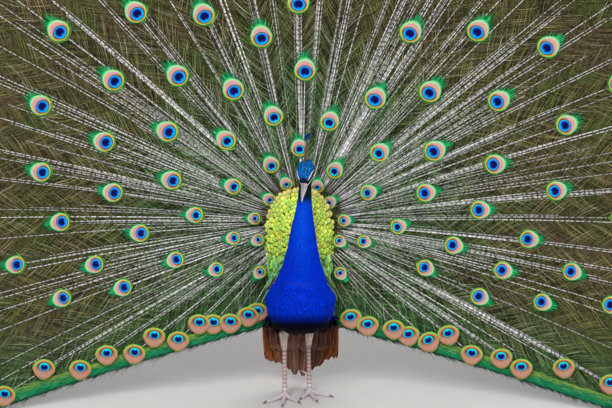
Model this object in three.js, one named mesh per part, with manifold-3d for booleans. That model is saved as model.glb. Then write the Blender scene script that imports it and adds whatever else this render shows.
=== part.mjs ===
// An Indian peacock in full display, life size, as a still model.
// Millimetres, +Z up. The bird faces -Y, and x is positive on the side of its left foot.
// Body parts are lofts cut from each other; train, tail and primaries are pleated feather sheets.
import * as THREE from "three";
import { mergeVertices } from "three/addons/utils/BufferGeometryUtils.js";
import Module from "manifold-3d";

const wasm = await Module();
wasm.setup();

// ---------- driving dimensions, mm and degrees ----------
const gap = 0.3; // left between neighbouring solids
const originShift = 21; // moves the bird along y, so that the origin is under the middle of its box

const body = { middle: -4, front: -172, back: 165, belly: 185, width: 176, breastCut: -62, rumpCut: 95 };
const neck = { base: 300, cut: 440, top: 592, lean: 8 };
const head = {
  centre: [9, -113, 600], pitch: 50, yaw: -13,
  length: 64, width: 44, height: 45, billLength: 48, billWidth: 15.5,
  eyeRadius: 6.5, eyeAt: [16.1, -9, 1],
};
const crest = { count: 9, reach: 74, fanned: 44, tilt: 56, tipLong: 17, tipWide: 6.5 };
const mantle = { centre: [-6, 28, 409], radii: [78, 34, 116], roundness: 2.4 };
const train = {
  rootY: 60, rootZ: 442, lowForward: 35, // the root of the fan, and how far its low feathers come forward
  bowlSide: 2.35e-4, bowlTop: 1.7e-4, // forward curve of the fan, per mm
  lowest: -70, sections: 12, feathersEach: 5, inner: 70,
  topReach: 1200, cornerReach: 955, cornerAngle: -27, roundness: 2.2,
  hemX: 100, hemZ: 182, hemSlope: 0.262, floorGap: 12,
  thick: 1.3, pleat: 3, notch: 0.035,
};
const tail = {
  root: [0, 112, 372], reach: 415, inner: 30, from: 4, to: 176, feathers: 14, lean: 50, thick: 1.3,
};
const wing = { thick: 9, feathers: 10, sheet: 1.3, bulge: 8 };
const leg = {
  hipZ: 250, ankleZ: 113, soleZ: 11, width: 10.5,
  right: { foot: [-44, -15], ankle: [-45, 24], hip: [-48, -8] },
  left: { foot: [19, 20], ankle: [16, 54], hip: [24, 6] },
};
// toe directions are turned from straight ahead, positive towards +X, inner or outer toe first
const toes = {
  right: [
    { turn: -44, reach: 66 }, { turn: -4, reach: 76 }, { turn: 36, reach: 58 }, { turn: 170, reach: 24 },
  ],
  left: [
    { turn: -22, reach: 56 }, { turn: 14, reach: 74 }, { turn: 62, reach: 58 }, { turn: 205, reach: 24 },
  ],
};
const toeRadius = 5.2;
const clawLength = 13;
const spur = { up: 42, reach: 27, radius: 4 };

// ---------- finishes ----------
const finish = (color, roughness) => new THREE.MeshStandardMaterial({ color, roughness, metalness: 0 });
const blue = finish(0x0a2fc4, 0.6);
const crown = finish(0x1a63d8, 0.5);
const horn = finish(0xb3a3aa, 0.45);
const darkEye = finish(0x1a0f0a, 0.1);
const gold = finish(0xb9b52c, 0.5);
const bronze = finish(0x5d5a34, 0.7);
const drab = finish(0x6f675c, 0.85);
const chestnut = finish(0x9a4a1c, 0.7);
const barred = finish(0xa08f74, 0.8);
const cream = finish(0xcfc0a4, 0.85);
const scale = finish(0xb9a9a4, 0.6);
const claw = finish(0x6b5f5c, 0.4);

// ---------- helpers ----------
const vec = (x, y, z) => new THREE.Vector3(x, y, z);
const rad = THREE.MathUtils.degToRad;
const mix = THREE.MathUtils.lerp;
const X = vec(1, 0, 0);
const Z = vec(0, 0, 1);

// A closed geometry as a manifold-3d solid, faces turned outwards.
function solid(geometry) {
  const bare = geometry.clone();
  bare.deleteAttribute("normal");
  bare.deleteAttribute("uv");
  const merged = mergeVertices(bare, 1e-3);
  const vertProperties = merged.attributes.position.array;
  const triVerts = new Uint32Array(merged.index.array);
  const made = new wasm.Manifold(new wasm.Mesh({ numProp: 3, vertProperties, triVerts }));
  if (made.volume() > 0) return made;
  triVerts.reverse();
  return new wasm.Manifold(new wasm.Mesh({ numProp: 3, vertProperties, triVerts }));
}

function geometryOf(made) {
  const mesh = made.getMesh();
  const place = new Float32Array(mesh.numVert * 3);
  for (let i = 0; i < mesh.numVert; i++) {
    place.set(mesh.vertProperties.subarray(i * mesh.numProp, i * mesh.numProp + 3), i * 3);
  }
  return new THREE.BufferGeometry()
    .setAttribute("position", new THREE.BufferAttribute(place, 3))
    .setIndex(new THREE.BufferAttribute(mesh.triVerts, 1));
}

const cut = (made, cutters) => cutters.reduce((rest, cutter) => rest.subtract(cutter), made);
const joined = (solids) => solids.reduce((all, next) => all.add(next));
const biggest = (made) => made.decompose().sort((a, b) => b.volume() - a.volume())[0];

// The solid a little larger all round, as a cutter that leaves the gap.
function grown(made) {
  const { min, max } = made.boundingBox();
  const middle = min.map((low, i) => (low + max[i]) / 2);
  const factor = min.map((low, i) => 1 + (2 * gap) / (max[i] - low));
  return made.translate(middle.map((c) => -c)).scale(factor).translate(middle);
}

// A tube through stations { at, wide, high, pear }, with oval or pear-shaped sections.
// wide is the half size along the section's side axis, high across it; swell widens both, for a cutter.
// square above 2 flattens the underside. shoulder sets the height, as a share of high, above which the pear
// shape stays as narrow as it gets; the underside is then not pear-shaped.
function loft(stations, { rings = 12, sides = 16, hint = null, swell = 0, square = 2, shoulder = 0 } = {}) {
  const spine = new THREE.CatmullRomCurve3(stations.map((s) => vec(...s.at)));
  const girth = new THREE.CatmullRomCurve3(stations.map((s) => vec(s.wide, s.high, s.pear ?? 0)));
  const geometry = new THREE.CylinderGeometry(1, 1, 1, sides, rings);
  const place = geometry.attributes.position;
  for (let i = 0; i < place.count; i++) {
    const along = 0.5 - place.getY(i);
    const centre = spine.getPoint(along);
    const run = spine.getTangent(along);
    const side = hint ? run.clone().cross(hint).normalize() : X.clone();
    const up = side.clone().cross(run).normalize();
    const size = girth.getPoint(along);
    const [x, z] = [place.getX(i), place.getZ(i)];
    const fuller = z < 0 ? (Math.abs(x) ** square + Math.abs(z) ** square) ** (-1 / square) : 1;
    const taper = size.z * (shoulder ? THREE.MathUtils.smoothstep(z, 0, shoulder) : z);
    centre.addScaledVector(side, x * fuller * (1 - taper) * (size.x + swell));
    centre.addScaledVector(up, z * fuller * (size.y + swell));
    place.setXYZ(i, centre.x, centre.y, centre.z);
  }
  return solid(geometry);
}

// A thin pleated sheet of side-by-side feathers. surface(u, v) gives its middle, u across and
// v from root to tip; facing(u) is the way it faces. Each feather is a ridge with a pointed tip.
function featherSheet({ surface, facing, feathers, columns, rows, thick, pleat, notch }) {
  const grid = new THREE.PlaneGeometry(1, 1, columns, rows);
  const { count } = grid.attributes.position;
  const sides = [0.5, -0.5].map((half) => {
    const points = [];
    for (let i = 0; i < count; i++) {
      const u = grid.attributes.position.getX(i) + 0.5;
      const v = grid.attributes.position.getY(i) + 0.5;
      const offRidge = Math.abs(2 * (u * feathers - Math.floor(Math.min(u, 0.9999) * feathers)) - 1);
      const ridge = pleat * (1 - offRidge) * Math.min(1, 4 * v);
      const middle = surface(u, v * (1 - notch * offRidge ** 2));
      points.push(...middle.addScaledVector(facing(u), ridge + half * thick).toArray());
    }
    return points;
  });
  return solid(new THREE.BufferGeometry()
    .setAttribute("position", new THREE.Float32BufferAttribute(sides.flat(), 3))
    .setIndex(bothSides(Array.from(grid.index.array), count)));
}

// The faces of an open sheet, the same faces again for its other side, and a rim between them.
function bothSides(faces, count) {
  const edges = new Set();
  const rim = [];
  const eachEdge = (visit) => faces.forEach((a, i) => visit(a, faces[i % 3 === 2 ? i - 2 : i + 1]));
  eachEdge((a, b) => edges.add(`${a} ${b}`));
  eachEdge((a, b) => {
    if (!edges.has(`${b} ${a}`)) rim.push(b, a, a + count, b, a + count, b + count);
  });
  const back = faces.map((_, i) => faces[i - (i % 3) + 2 - (i % 3)] + count);
  return [...faces, ...back, ...rim];
}

// ---------- trunk ----------
function trunkSolid(swell = 0) {
  const half = body.width / 2;
  return loft([
    { at: [body.middle, body.front, 281], wide: 8, high: 10 },
    { at: [body.middle, -166, 280], wide: 38, high: 40, pear: 0.1 },
    { at: [body.middle, -146, 279], wide: 65, high: 70, pear: 0.16 },
    { at: [body.middle, -108, 279], wide: 82, high: 91, pear: 0.22 },
    { at: [body.middle, -60, 284], wide: half, high: 284 - body.belly, pear: 0.22 },
    { at: [body.middle, -10, 290], wide: 83, high: 104, pear: 0.22 },
    { at: [body.middle, 40, 296], wide: 77, high: 98, pear: 0.12 },
    { at: [body.middle, 90, 305], wide: 68, high: 82, pear: 0.05 },
    { at: [body.middle, 130, 318], wide: 50, high: 58 },
    { at: [body.middle, 155, 328], wide: 28, high: 32 },
    { at: [body.middle, body.back, 333], wide: 8, high: 8 },
  ], { rings: 16, sides: 16, swell, square: 3.2, shoulder: 0.4 });
}

function neckSolid(swell = 0) {
  return loft([
    { at: [0, -84, neck.base - 26], wide: 70, high: 66 },
    { at: [0, -88, neck.base + 4], wide: 70, high: 66 },
    { at: [0, -98, 354], wide: 53, high: 58 },
    { at: [1, -106, 402], wide: 41, high: 45 },
    { at: [2, -107, 445], wide: 34, high: 36 },
    { at: [4, -105, 485], wide: 26, high: 28 },
    { at: [6, -102, 520], wide: 20, high: 23 },
    { at: [neck.lean, -101, 556], wide: 17.5, high: 21 },
    { at: [neck.lean, -102, neck.top], wide: 17, high: 20 },
  ], { rings: 10, sides: 14, swell });
}

// The raised back behind the neck: a flat dome, oblong as seen from the front.
function mantleSolid(swell = 0) {
  const dome = new THREE.SphereGeometry(1, 20, 10);
  const place = dome.attributes.position;
  for (let i = 0; i < place.count; i++) {
    const [x, z] = [place.getX(i), place.getZ(i)];
    const far = Math.hypot(x, z);
    const power = Math.abs(x) ** mantle.roundness + Math.abs(z) ** mantle.roundness;
    const fuller = far > 1e-6 ? far / power ** (1 / mantle.roundness) : 1;
    place.setXYZ(i, x * fuller, place.getY(i), z * fuller);
  }
  return solid(dome.scale(...mantle.radii.map((r) => r + swell)).translate(...mantle.centre));
}

// ---------- head, built level and facing -Y, then pitched and turned ----------
const headPlace = new THREE.Matrix4()
  .makeTranslation(...head.centre)
  .multiply(new THREE.Matrix4().makeRotationZ(rad(head.yaw)))
  .multiply(new THREE.Matrix4().makeRotationX(rad(head.pitch)));
const placed = (made) => made.transform(headPlace.elements.slice());

function skullSolid() {
  const [w, h, long] = [head.width / 2, head.height / 2, head.length];
  return placed(loft([
    { at: [0, long * 0.52, 2], wide: 3, high: 3 },
    { at: [0, long * 0.47, 1.5], wide: w * 0.5, high: h * 0.52 },
    { at: [0, long * 0.3, 0.5], wide: w * 0.87, high: h * 0.88 },
    { at: [0, long * 0.08, 0], wide: w, high: h },
    { at: [0, -long * 0.12, -0.6], wide: w * 0.95, high: h * 0.9, pear: 0.05 },
    { at: [0, -long * 0.28, -2.6], wide: w * 0.76, high: h * 0.7, pear: 0.1 },
    { at: [0, -long * 0.4, -4.8], wide: w * 0.53, high: h * 0.52, pear: 0.12 },
    { at: [0, -long * 0.48, -6], wide: w * 0.36, high: h * 0.36, pear: 0.1 },
  ], { rings: 10, sides: 14 }));
}

function eyeSolid(side) {
  const [x, y, z] = head.eyeAt;
  const ball = new THREE.SphereGeometry(head.eyeRadius, 8, 6).translate(side * x, y, z);
  return placed(solid(ball));
}

// Upper and lower halves of the bill share the gape line; the culmen curves down to the tip.
const billRoot = -head.length * 0.44;

function billUpperSolid(swell = 0) {
  const [half, long] = [head.billWidth / 2, head.billLength];
  return placed(loft([
    { at: [0, billRoot + 3, -3.6], wide: half, high: 4.6 },
    { at: [0, billRoot - long * 0.2, -4.2], wide: half * 0.86, high: 4.7 },
    { at: [0, billRoot - long * 0.45, -5.4], wide: half * 0.66, high: 4.2 },
    { at: [0, billRoot - long * 0.7, -7.2], wide: half * 0.46, high: 3.2 },
    { at: [0, billRoot - long * 0.9, -10], wide: half * 0.26, high: 1.9 },
    { at: [0, billRoot - long, -13], wide: 0.7, high: 0.8 },
  ], { rings: 7, sides: 8, swell }));
}

function billLowerSolid() {
  const [half, long] = [head.billWidth / 2, head.billLength];
  return placed(loft([
    { at: [0, billRoot + 4, -11], wide: half * 0.86, high: 3.4 },
    { at: [0, billRoot - long * 0.2, -11.2], wide: half * 0.72, high: 3 },
    { at: [0, billRoot - long * 0.5, -11.4], wide: half * 0.5, high: 2.3 },
    { at: [0, billRoot - long * 0.82, -11.6], wide: half * 0.24, high: 1.2 },
  ], { rings: 5, sides: 8 }));
}

// Bare shafts with spoon-shaped tips, fanned in the plane of the bill.
function crestSolid() {
  const tipShare = 1 - crest.tipLong / crest.reach;
  const sizes = [
    [0, 0.45, 2.6], [tipShare * 0.5, 0.45, 0.45], [tipShare, 0.5, 0.6],
    [mix(tipShare, 1, 0.4), 0.8, 0.8 * crest.tipWide], [mix(tipShare, 1, 0.75), 0.8, crest.tipWide],
    [1, 0.6, 0.35 * crest.tipWide],
  ];
  const feathers = [];
  for (let i = 0; i < crest.count; i++) {
    const spread = (i / (crest.count - 1) - 0.5) * crest.fanned;
    const turn = rad(crest.tilt + spread);
    const out = vec(0, Math.sin(turn), Math.cos(turn));
    const foot = vec(0, 15 + spread * 0.16, head.height * 0.42);
    const along = (share) => foot.clone().addScaledVector(out, crest.reach * share).toArray();
    const stations = sizes.map(([share, wide, high]) => ({ at: along(share), wide, high }));
    feathers.push(loft(stations, { rings: stations.length - 1, sides: 4 }));
  }
  return placed(joined(feathers));
}

// ---------- train ----------
// A point of the bowl-shaped fan: angle in degrees from +X, reach from the root.
function fanPoint(angle, reach) {
  const [c, s] = [Math.cos(rad(angle)), Math.sin(rad(angle))];
  const bowl = mix(train.bowlSide, train.bowlTop, Math.max(0, s));
  const forward = train.lowForward * THREE.MathUtils.smoothstep(-s, 0, 0.9);
  return vec(c * reach, train.rootY - forward - bowl * reach ** 2, train.rootZ + s * reach);
}

// How far the fan reaches: a broad arc above, a straight hem below, clear of the floor.
function fanEdge(angle) {
  const fromTop = Math.min(1, Math.abs(angle - 90) / (90 - train.cornerAngle));
  const arc = train.topReach - (train.topReach - train.cornerReach) * fromTop ** train.roundness;
  const [c, down] = [Math.abs(Math.cos(rad(angle))), -Math.sin(rad(angle))];
  if (down <= 0) return arc;
  const drop = train.rootZ - train.hemZ - train.hemSlope * train.hemX;
  const fall = down - train.hemSlope * c;
  const hem = fall > 0 ? drop / fall : Infinity;
  return Math.min(arc, hem, (train.rootZ - train.floorGap) / down);
}

function trainSection(index) {
  const span = (180 - 2 * train.lowest) / train.sections;
  const start = train.lowest + index * span;
  return featherSheet({
    surface(u, v) {
      const angle = start + u * span;
      const reach = mix(train.inner, fanEdge(angle), v);
      const inset = ((0.5 - u) * 2 * gap * 90) / (Math.PI * reach);
      return fanPoint(angle + inset, reach);
    },
    facing(u) {
      const angle = start + u * span;
      return vec(-0.12 * Math.cos(rad(angle)), -1, -0.12 * Math.sin(rad(angle))).normalize();
    },
    feathers: train.feathersEach, columns: train.feathersEach * 2, rows: 4,
    thick: train.thick, pleat: train.pleat, notch: train.notch,
  });
}

// ---------- tail, wings, primaries ----------
function tailSolid() {
  return featherSheet({
    surface(u, v) {
      const angle = rad(mix(tail.from, tail.to, u));
      const reach = mix(tail.inner, tail.reach, v);
      const [x, y, z] = tail.root;
      return vec(x + Math.cos(angle) * reach, y - tail.lean * v, z + Math.sin(angle) * reach);
    },
    facing: () => vec(0, 1, 0),
    feathers: tail.feathers, columns: tail.feathers * 2, rows: 2,
    thick: tail.thick, pleat: 2.5, notch: 0.05,
  });
}

// The folded, drooped arm of the wing, along the side of the trunk.
function wingSolid(side, swell = 0) {
  const at = (x, y, z) => [body.middle + side * x, y, z];
  return loft([
    { at: at(62, -74, 272), wide: 3, high: 10 },
    { at: at(70, -48, 268), wide: wing.thick, high: 28 },
    { at: at(74, -4, 258), wide: wing.thick, high: 48 },
    { at: at(83, 46, 244), wide: wing.thick, high: 62 },
    { at: at(93, 86, 214), wide: wing.thick * 0.8, high: 54 },
    { at: at(95, 122, 188), wide: 4, high: 32 },
    { at: at(92, 136, 174), wide: 2, high: 14 },
  ], { rings: 8, sides: 10, hint: Z, swell });
}

// The primaries hang from the hand; tips and inner feathers sweep in behind the legs as a curtain.
function primariesSolid(side) {
  const root = new THREE.CatmullRomCurve3([
    vec(93, 52, 204), vec(95, 98, 190), vec(72, 132, 200), vec(20, 146, 246),
  ]);
  const tips = new THREE.CatmullRomCurve3([
    vec(98, 66, 78), vec(86, 92, 52), vec(56, 108, 32), vec(12, 112, 22),
  ]);
  return featherSheet({
    surface(u, v) {
      const point = root.getPoint(u).lerp(tips.getPoint(u), v);
      point.x = body.middle + side * (point.x + wing.bulge * (1 - u) * Math.sin(Math.PI * v));
      return point;
    },
    facing: (u) => vec(side * mix(0.96, 0.4, u), mix(0.28, 0.87, u), 0.1),
    feathers: wing.feathers, columns: wing.feathers * 2, rows: 3,
    thick: wing.sheet, pleat: 2.2, notch: 0.12,
  });
}

// ---------- legs ----------
function thighSolid({ hip, ankle }) {
  const at = (share) => [mix(ankle[0], hip[0], share), mix(ankle[1], hip[1], share),
    mix(leg.ankleZ, leg.hipZ, share)];
  return loft([
    { at: at(1), wide: 26, high: 34 },
    { at: at(0.62), wide: 20, high: 27 },
    { at: at(0.38), wide: 13, high: 18 },
    { at: at(0.18), wide: 8.5, high: 11 },
    { at: at(-0.05), wide: 6.2, high: 7.4 },
  ], { rings: 6, sides: 9, hint: vec(0, -1, 0) });
}

function tarsusSolid({ foot, ankle }, swell = 0) {
  const half = leg.width / 2;
  const at = (share) => [mix(foot[0], ankle[0], share), mix(foot[1], ankle[1], share),
    mix(leg.soleZ, leg.ankleZ + 4, share)];
  return loft([
    { at: at(1), wide: half * 1.15, high: half * 1.3 },
    { at: at(0.9), wide: half * 1.1, high: half * 1.25 },
    { at: at(0.75), wide: half * 0.86, high: half * 1.05 },
    { at: at(0.35), wide: half * 0.84, high: half * 1.02 },
    { at: at(0.1), wide: half * 1.12, high: half * 1.12 },
    { at: at(0), wide: half * 1.2, high: half * 1.05 },
  ], { rings: 6, sides: 8, hint: vec(0, -1, 0), swell });
}

const runOf = ({ turn }) => vec(Math.sin(rad(turn)), -Math.cos(rad(turn)), 0);

// The toes of one foot in one piece, with flats on the floor.
function footSolid([x, y], list, swell = 0) {
  const toeParts = list.map((toe) => {
    const at = (far, z) => vec(x, y, z).addScaledVector(runOf(toe), far).toArray();
    return loft([
      { at: at(-3, 8.5), wide: 4.5, high: 4.5 },
      { at: at(5, 7.5), wide: toeRadius, high: toeRadius + 1 },
      { at: at(toe.reach * 0.36, 4.4), wide: toeRadius * 0.92, high: toeRadius },
      { at: at(toe.reach * 0.5, 3.9), wide: toeRadius * 0.76, high: toeRadius * 0.86 },
      { at: at(toe.reach * 0.66, 3.9), wide: toeRadius * 0.84, high: toeRadius * 0.88 },
      { at: at(toe.reach * 0.82, 3.4), wide: toeRadius * 0.66, high: toeRadius * 0.74 },
      { at: at(toe.reach + swell, 3), wide: toeRadius * 0.5, high: toeRadius * 0.6 },
    ], { rings: 5, sides: 6, hint: Z, swell });
  });
  const ball = solid(new THREE.SphereGeometry(8 + swell, 8, 6).translate(x, y, 7.4));
  return joined([...toeParts, ball]).trimByPlane([0, 0, 1], 0);
}

function clawSolid([x, y], toe) {
  const at = (far, z) => vec(x, y, z).addScaledVector(runOf(toe), toe.reach - 2 + far).toArray();
  return loft([
    { at: at(0, 3.8), wide: 2.2, high: 2.5 },
    { at: at(clawLength * 0.5, 3.7), wide: 1.6, high: 2 },
    { at: at(clawLength * 0.85, 2.2), wide: 0.9, high: 1.2 },
    { at: at(clawLength + 2, 0.9), wide: 0.4, high: 0.5 },
  ], { rings: 2, sides: 5, hint: Z }).trimByPlane([0, 0, 1], 0.1);
}

function spurSolid({ foot, ankle }, inward) {
  const share = spur.up / leg.ankleZ;
  const start = vec(mix(foot[0], ankle[0], share), mix(foot[1], ankle[1], share), spur.up + 8);
  const way = vec(inward * 0.8, 0.6, 0.05).normalize();
  const at = (far) => start.clone().addScaledVector(way, far).toArray();
  return loft([
    { at: at(0), wide: spur.radius, high: spur.radius },
    { at: at(spur.reach * 0.45), wide: spur.radius * 0.7, high: spur.radius * 0.7 },
    { at: at(spur.reach), wide: 0.6, high: 0.6 },
  ], { rings: 3, sides: 6, hint: Z });
}

// ---------- assembly ----------
const peacock = new THREE.Group();
peacock.position.y = originShift;

function show(name, made, material) {
  const mesh = new THREE.Mesh(geometryOf(biggest(made).simplify(0.04)), material);
  mesh.name = name;
  peacock.add(mesh);
}

// Cutters are the uncut shapes, swollen by the gap.
const wholeTrunk = trunkSolid();
const skull = skullSolid();
const headCutter = grown(skull);
const trunkCutter = trunkSolid(2 * gap);
const neckCutter = neckSolid(2 * gap);
const backCutters = [trunkCutter, mantleSolid(2 * gap)];
const wingCutters = [wingSolid(1, 2 * gap), wingSolid(-1, 2 * gap)];

show("breast", wholeTrunk.trimByPlane([0, -1, 0], -body.breastCut), blue);
show("trunk", wholeTrunk.trimByPlane([0, 1, 0], body.breastCut + gap)
  .trimByPlane([0, -1, 0], -body.rumpCut), drab);
show("rump", wholeTrunk.trimByPlane([0, 1, 0], body.rumpCut + gap), drab);
const wholeNeck = cut(neckSolid(), [trunkCutter, headCutter]);
show("neck_lower", wholeNeck.trimByPlane([0, 0, -1], -neck.cut), blue);
show("neck_upper", wholeNeck.trimByPlane([0, 0, 1], neck.cut + gap), blue);

const eyes = { eye_left: eyeSolid(1), eye_right: eyeSolid(-1) };
show("head", cut(skull, Object.values(eyes).map(grown)), crown);
for (const [name, ball] of Object.entries(eyes)) show(name, ball, darkEye);
show("bill_upper", billUpperSolid().subtract(headCutter), horn);
show("bill_lower", cut(billLowerSolid(), [headCutter, billUpperSolid(gap), neckCutter]), horn);
show("crest", crestSolid().subtract(headCutter), crown);

show("mantle", mantleSolid().subtract(trunkCutter), gold);
for (let i = 0; i < train.sections; i++) {
  const name = `train_${String(i + 1).padStart(2, "0")}`;
  show(name, cut(trainSection(i), [...backCutters, ...wingCutters]), bronze);
}
show("tail", cut(tailSolid(), backCutters), drab);

for (const [name, side] of [["left", 1], ["right", -1]]) {
  const limb = leg[name];
  const tarsusCutter = tarsusSolid(limb, gap);
  const footCutter = footSolid(limb.foot, toes[name], gap);
  show(`wing_${name}`, cut(wingSolid(side), [trunkCutter, neckCutter]), barred);
  show(`primaries_${name}`, cut(primariesSolid(side), [trunkCutter, ...wingCutters]), chestnut);
  show(`thigh_${name}`, cut(thighSolid(limb), [trunkCutter, tarsusCutter]), cream);
  show(`tarsus_${name}`, tarsusSolid(limb).subtract(footCutter), scale);
  show(`foot_${name}`, footSolid(limb.foot, toes[name]), scale);
  show(`spur_${name}`, spurSolid(limb, -side).subtract(tarsusCutter), horn);
  toes[name].forEach((toe, i) => {
    show(`claw_${name}_${i + 1}`, clawSolid(limb.foot, toe).subtract(footCutter), claw);
  });
}

export default peacock;
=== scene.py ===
# An Indian peacock in full display, life size, as a still model. Metres; the bird faces -Y.
import bpy
import bmesh
import math
import numpy as np
from mathutils import Matrix, Vector
from mathutils.bvhtree import BVHTree


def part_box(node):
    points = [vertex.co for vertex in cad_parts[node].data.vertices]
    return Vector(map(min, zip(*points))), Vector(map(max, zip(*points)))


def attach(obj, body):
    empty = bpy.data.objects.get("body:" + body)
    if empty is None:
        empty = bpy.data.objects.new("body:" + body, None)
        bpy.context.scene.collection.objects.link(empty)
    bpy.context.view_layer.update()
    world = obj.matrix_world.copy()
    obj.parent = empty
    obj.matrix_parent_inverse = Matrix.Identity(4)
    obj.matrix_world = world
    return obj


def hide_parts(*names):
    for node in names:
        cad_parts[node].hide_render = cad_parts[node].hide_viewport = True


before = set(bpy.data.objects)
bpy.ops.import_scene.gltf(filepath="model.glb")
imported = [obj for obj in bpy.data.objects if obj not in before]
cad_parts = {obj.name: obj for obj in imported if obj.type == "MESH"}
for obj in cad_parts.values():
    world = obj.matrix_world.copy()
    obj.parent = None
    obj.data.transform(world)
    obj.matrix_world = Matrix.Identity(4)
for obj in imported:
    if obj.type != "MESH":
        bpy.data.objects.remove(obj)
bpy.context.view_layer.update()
rng = np.random.default_rng(11)
shiftY = 0.021  # the bird's own middle plane, moved so that the origin is under the box


view = {"target": (0.010, shiftY, 0.499), "distance": 5.0, "elevation": 11, "lens": 117.65}
light = {"key": 235, "fill": 85, "rim": 70, "sky": 0.42}


def makeStage():
    scene = bpy.context.scene
    scene.view_settings.view_transform = "Standard"
    up = math.radians(view["elevation"])
    target = Vector(view["target"])
    cam = bpy.data.objects.new("camera", bpy.data.cameras.new("camera"))
    cam.location = target + Vector((0, -math.cos(up), math.sin(up))) * view["distance"]
    cam.rotation_euler = (math.pi / 2 - up, 0, 0)
    cam.data.lens = view["lens"]
    cam.data.clip_end = 50
    scene.collection.objects.link(cam)
    scene.camera = cam

    world = bpy.data.worlds.new("studio")
    world.use_nodes = True
    world.node_tree.nodes["Background"].inputs["Color"].default_value = (0.93, 0.96, 1, 1)
    world.node_tree.nodes["Background"].inputs["Strength"].default_value = light["sky"]
    scene.world = world
    lamps = [  # name, place, size, watts
        ("key", (-1.1, -4.6, 3.6), 2.2, light["key"]),
        ("fill", (2.6, -4.2, 1.8), 3.2, light["fill"]),
        ("rim", (0.6, 3.4, 3.2), 2.4, light["rim"]),
    ]
    for name, place, size, watts in lamps:
        lamp = bpy.data.objects.new(name, bpy.data.lights.new(name, "AREA"))
        lamp.data.size = size
        lamp.data.energy = watts
        lamp.location = place
        aim = Vector((0, 0, 0.6)) - lamp.location
        lamp.rotation_euler = aim.to_track_quat("-Z", "Y").to_euler()
        scene.collection.objects.link(lamp)

    bm = bmesh.new()
    bmesh.ops.create_grid(bm, x_segments=1, y_segments=1, size=30)
    mesh = bpy.data.meshes.new("floor")
    bm.to_mesh(mesh)
    bm.free()
    floor = bpy.data.objects.new("floor", mesh)
    scene.collection.objects.link(floor)
    mesh.materials.append(newMaterial("floorPaint", (0.62, 0.6, 0.58), rough=0.9, mottle=0.06, grain=6))
    print("stage ready")


def addNode(tree, kind, links=None, **settings):
    made = tree.nodes.new(kind)
    for key, value in settings.items():
        if key in made.inputs:
            made.inputs[key].default_value = value
        else:
            setattr(made, key, value)
    for socket, source in (links or {}).items():
        tree.links.new(source, made.inputs[socket])
    return made


def mathNode(tree, operation, a, b=0.0, c=0.0, clamp=False):
    made = tree.nodes.new("ShaderNodeMath")
    made.operation = operation
    made.use_clamp = clamp
    for i, value in enumerate((a, b, c)):
        if hasattr(value, "links"):
            tree.links.new(value, made.inputs[i])
        else:
            made.inputs[i].default_value = value
    return made.outputs[0]


def mixColor(tree, factor, a, b, blend="MIX"):
    made = tree.nodes.new("ShaderNodeMix")
    made.data_type = "RGBA"
    made.blend_type = blend
    for socket, value in (("Factor", factor), ("A", a), ("B", b)):
        target = next(i for i in made.inputs if i.name == socket and i.enabled)
        if hasattr(value, "links"):
            tree.links.new(value, target)
        elif socket == "Factor":
            target.default_value = value
        else:
            target.default_value = (*value, 1)
    return next(o for o in made.outputs if o.enabled)


def ramp(tree, factor, stops, smooth=False):
    made = tree.nodes.new("ShaderNodeValToRGB")
    made.color_ramp.interpolation = "EASE" if smooth else "LINEAR"
    elements = made.color_ramp.elements
    while len(elements) < len(stops):
        elements.new(0.5)
    for element, (place, color) in zip(elements, stops):
        element.position = place
        element.color = (*color, 1)
    tree.links.new(factor, made.inputs["Fac"])
    return made.outputs["Color"]


# color, or the colours in an attribute, with a fine noise in tone and height.
def newMaterial(name, color, rough=0.6, metal=0.0, sheen=0.0, coat=0.0, mottle=0.2, grain=300,
                bump=0.15, attribute=None, stretch=(1, 1, 1), shine=0.5):
    mat = bpy.data.materials.new(name)
    mat.use_nodes = True
    tree = mat.node_tree
    bsdf = tree.nodes["Principled BSDF"]
    where = addNode(tree, "ShaderNodeTexCoord").outputs["Object"]
    turned = addNode(tree, "ShaderNodeMapping", {"Vector": where}, Scale=stretch).outputs["Vector"]
    noise = addNode(tree, "ShaderNodeTexNoise", {"Vector": turned}, Scale=grain, Detail=3.0)
    tone = mathNode(tree, "MULTIPLY_ADD", noise.outputs["Fac"], 2 * mottle, 1 - mottle)
    base = addNode(tree, "ShaderNodeAttribute", attribute_name=attribute).outputs["Color"] if attribute else color
    shade = addNode(tree, "ShaderNodeCombineXYZ", {"X": tone, "Y": tone, "Z": tone}).outputs[0]
    tree.links.new(mixColor(tree, 1.0, base, shade, "MULTIPLY"), bsdf.inputs["Base Color"])
    if bump:
        height = addNode(tree, "ShaderNodeBump", {"Height": noise.outputs["Fac"]}, Strength=bump, Distance=0.001)
        tree.links.new(height.outputs["Normal"], bsdf.inputs["Normal"])
    bsdf.inputs["Roughness"].default_value = rough
    bsdf.inputs["Metallic"].default_value = metal
    bsdf.inputs["Sheen Weight"].default_value = sheen
    bsdf.inputs["Coat Weight"].default_value = coat
    bsdf.inputs["Specular IOR Level"].default_value = shine
    return mat


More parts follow.
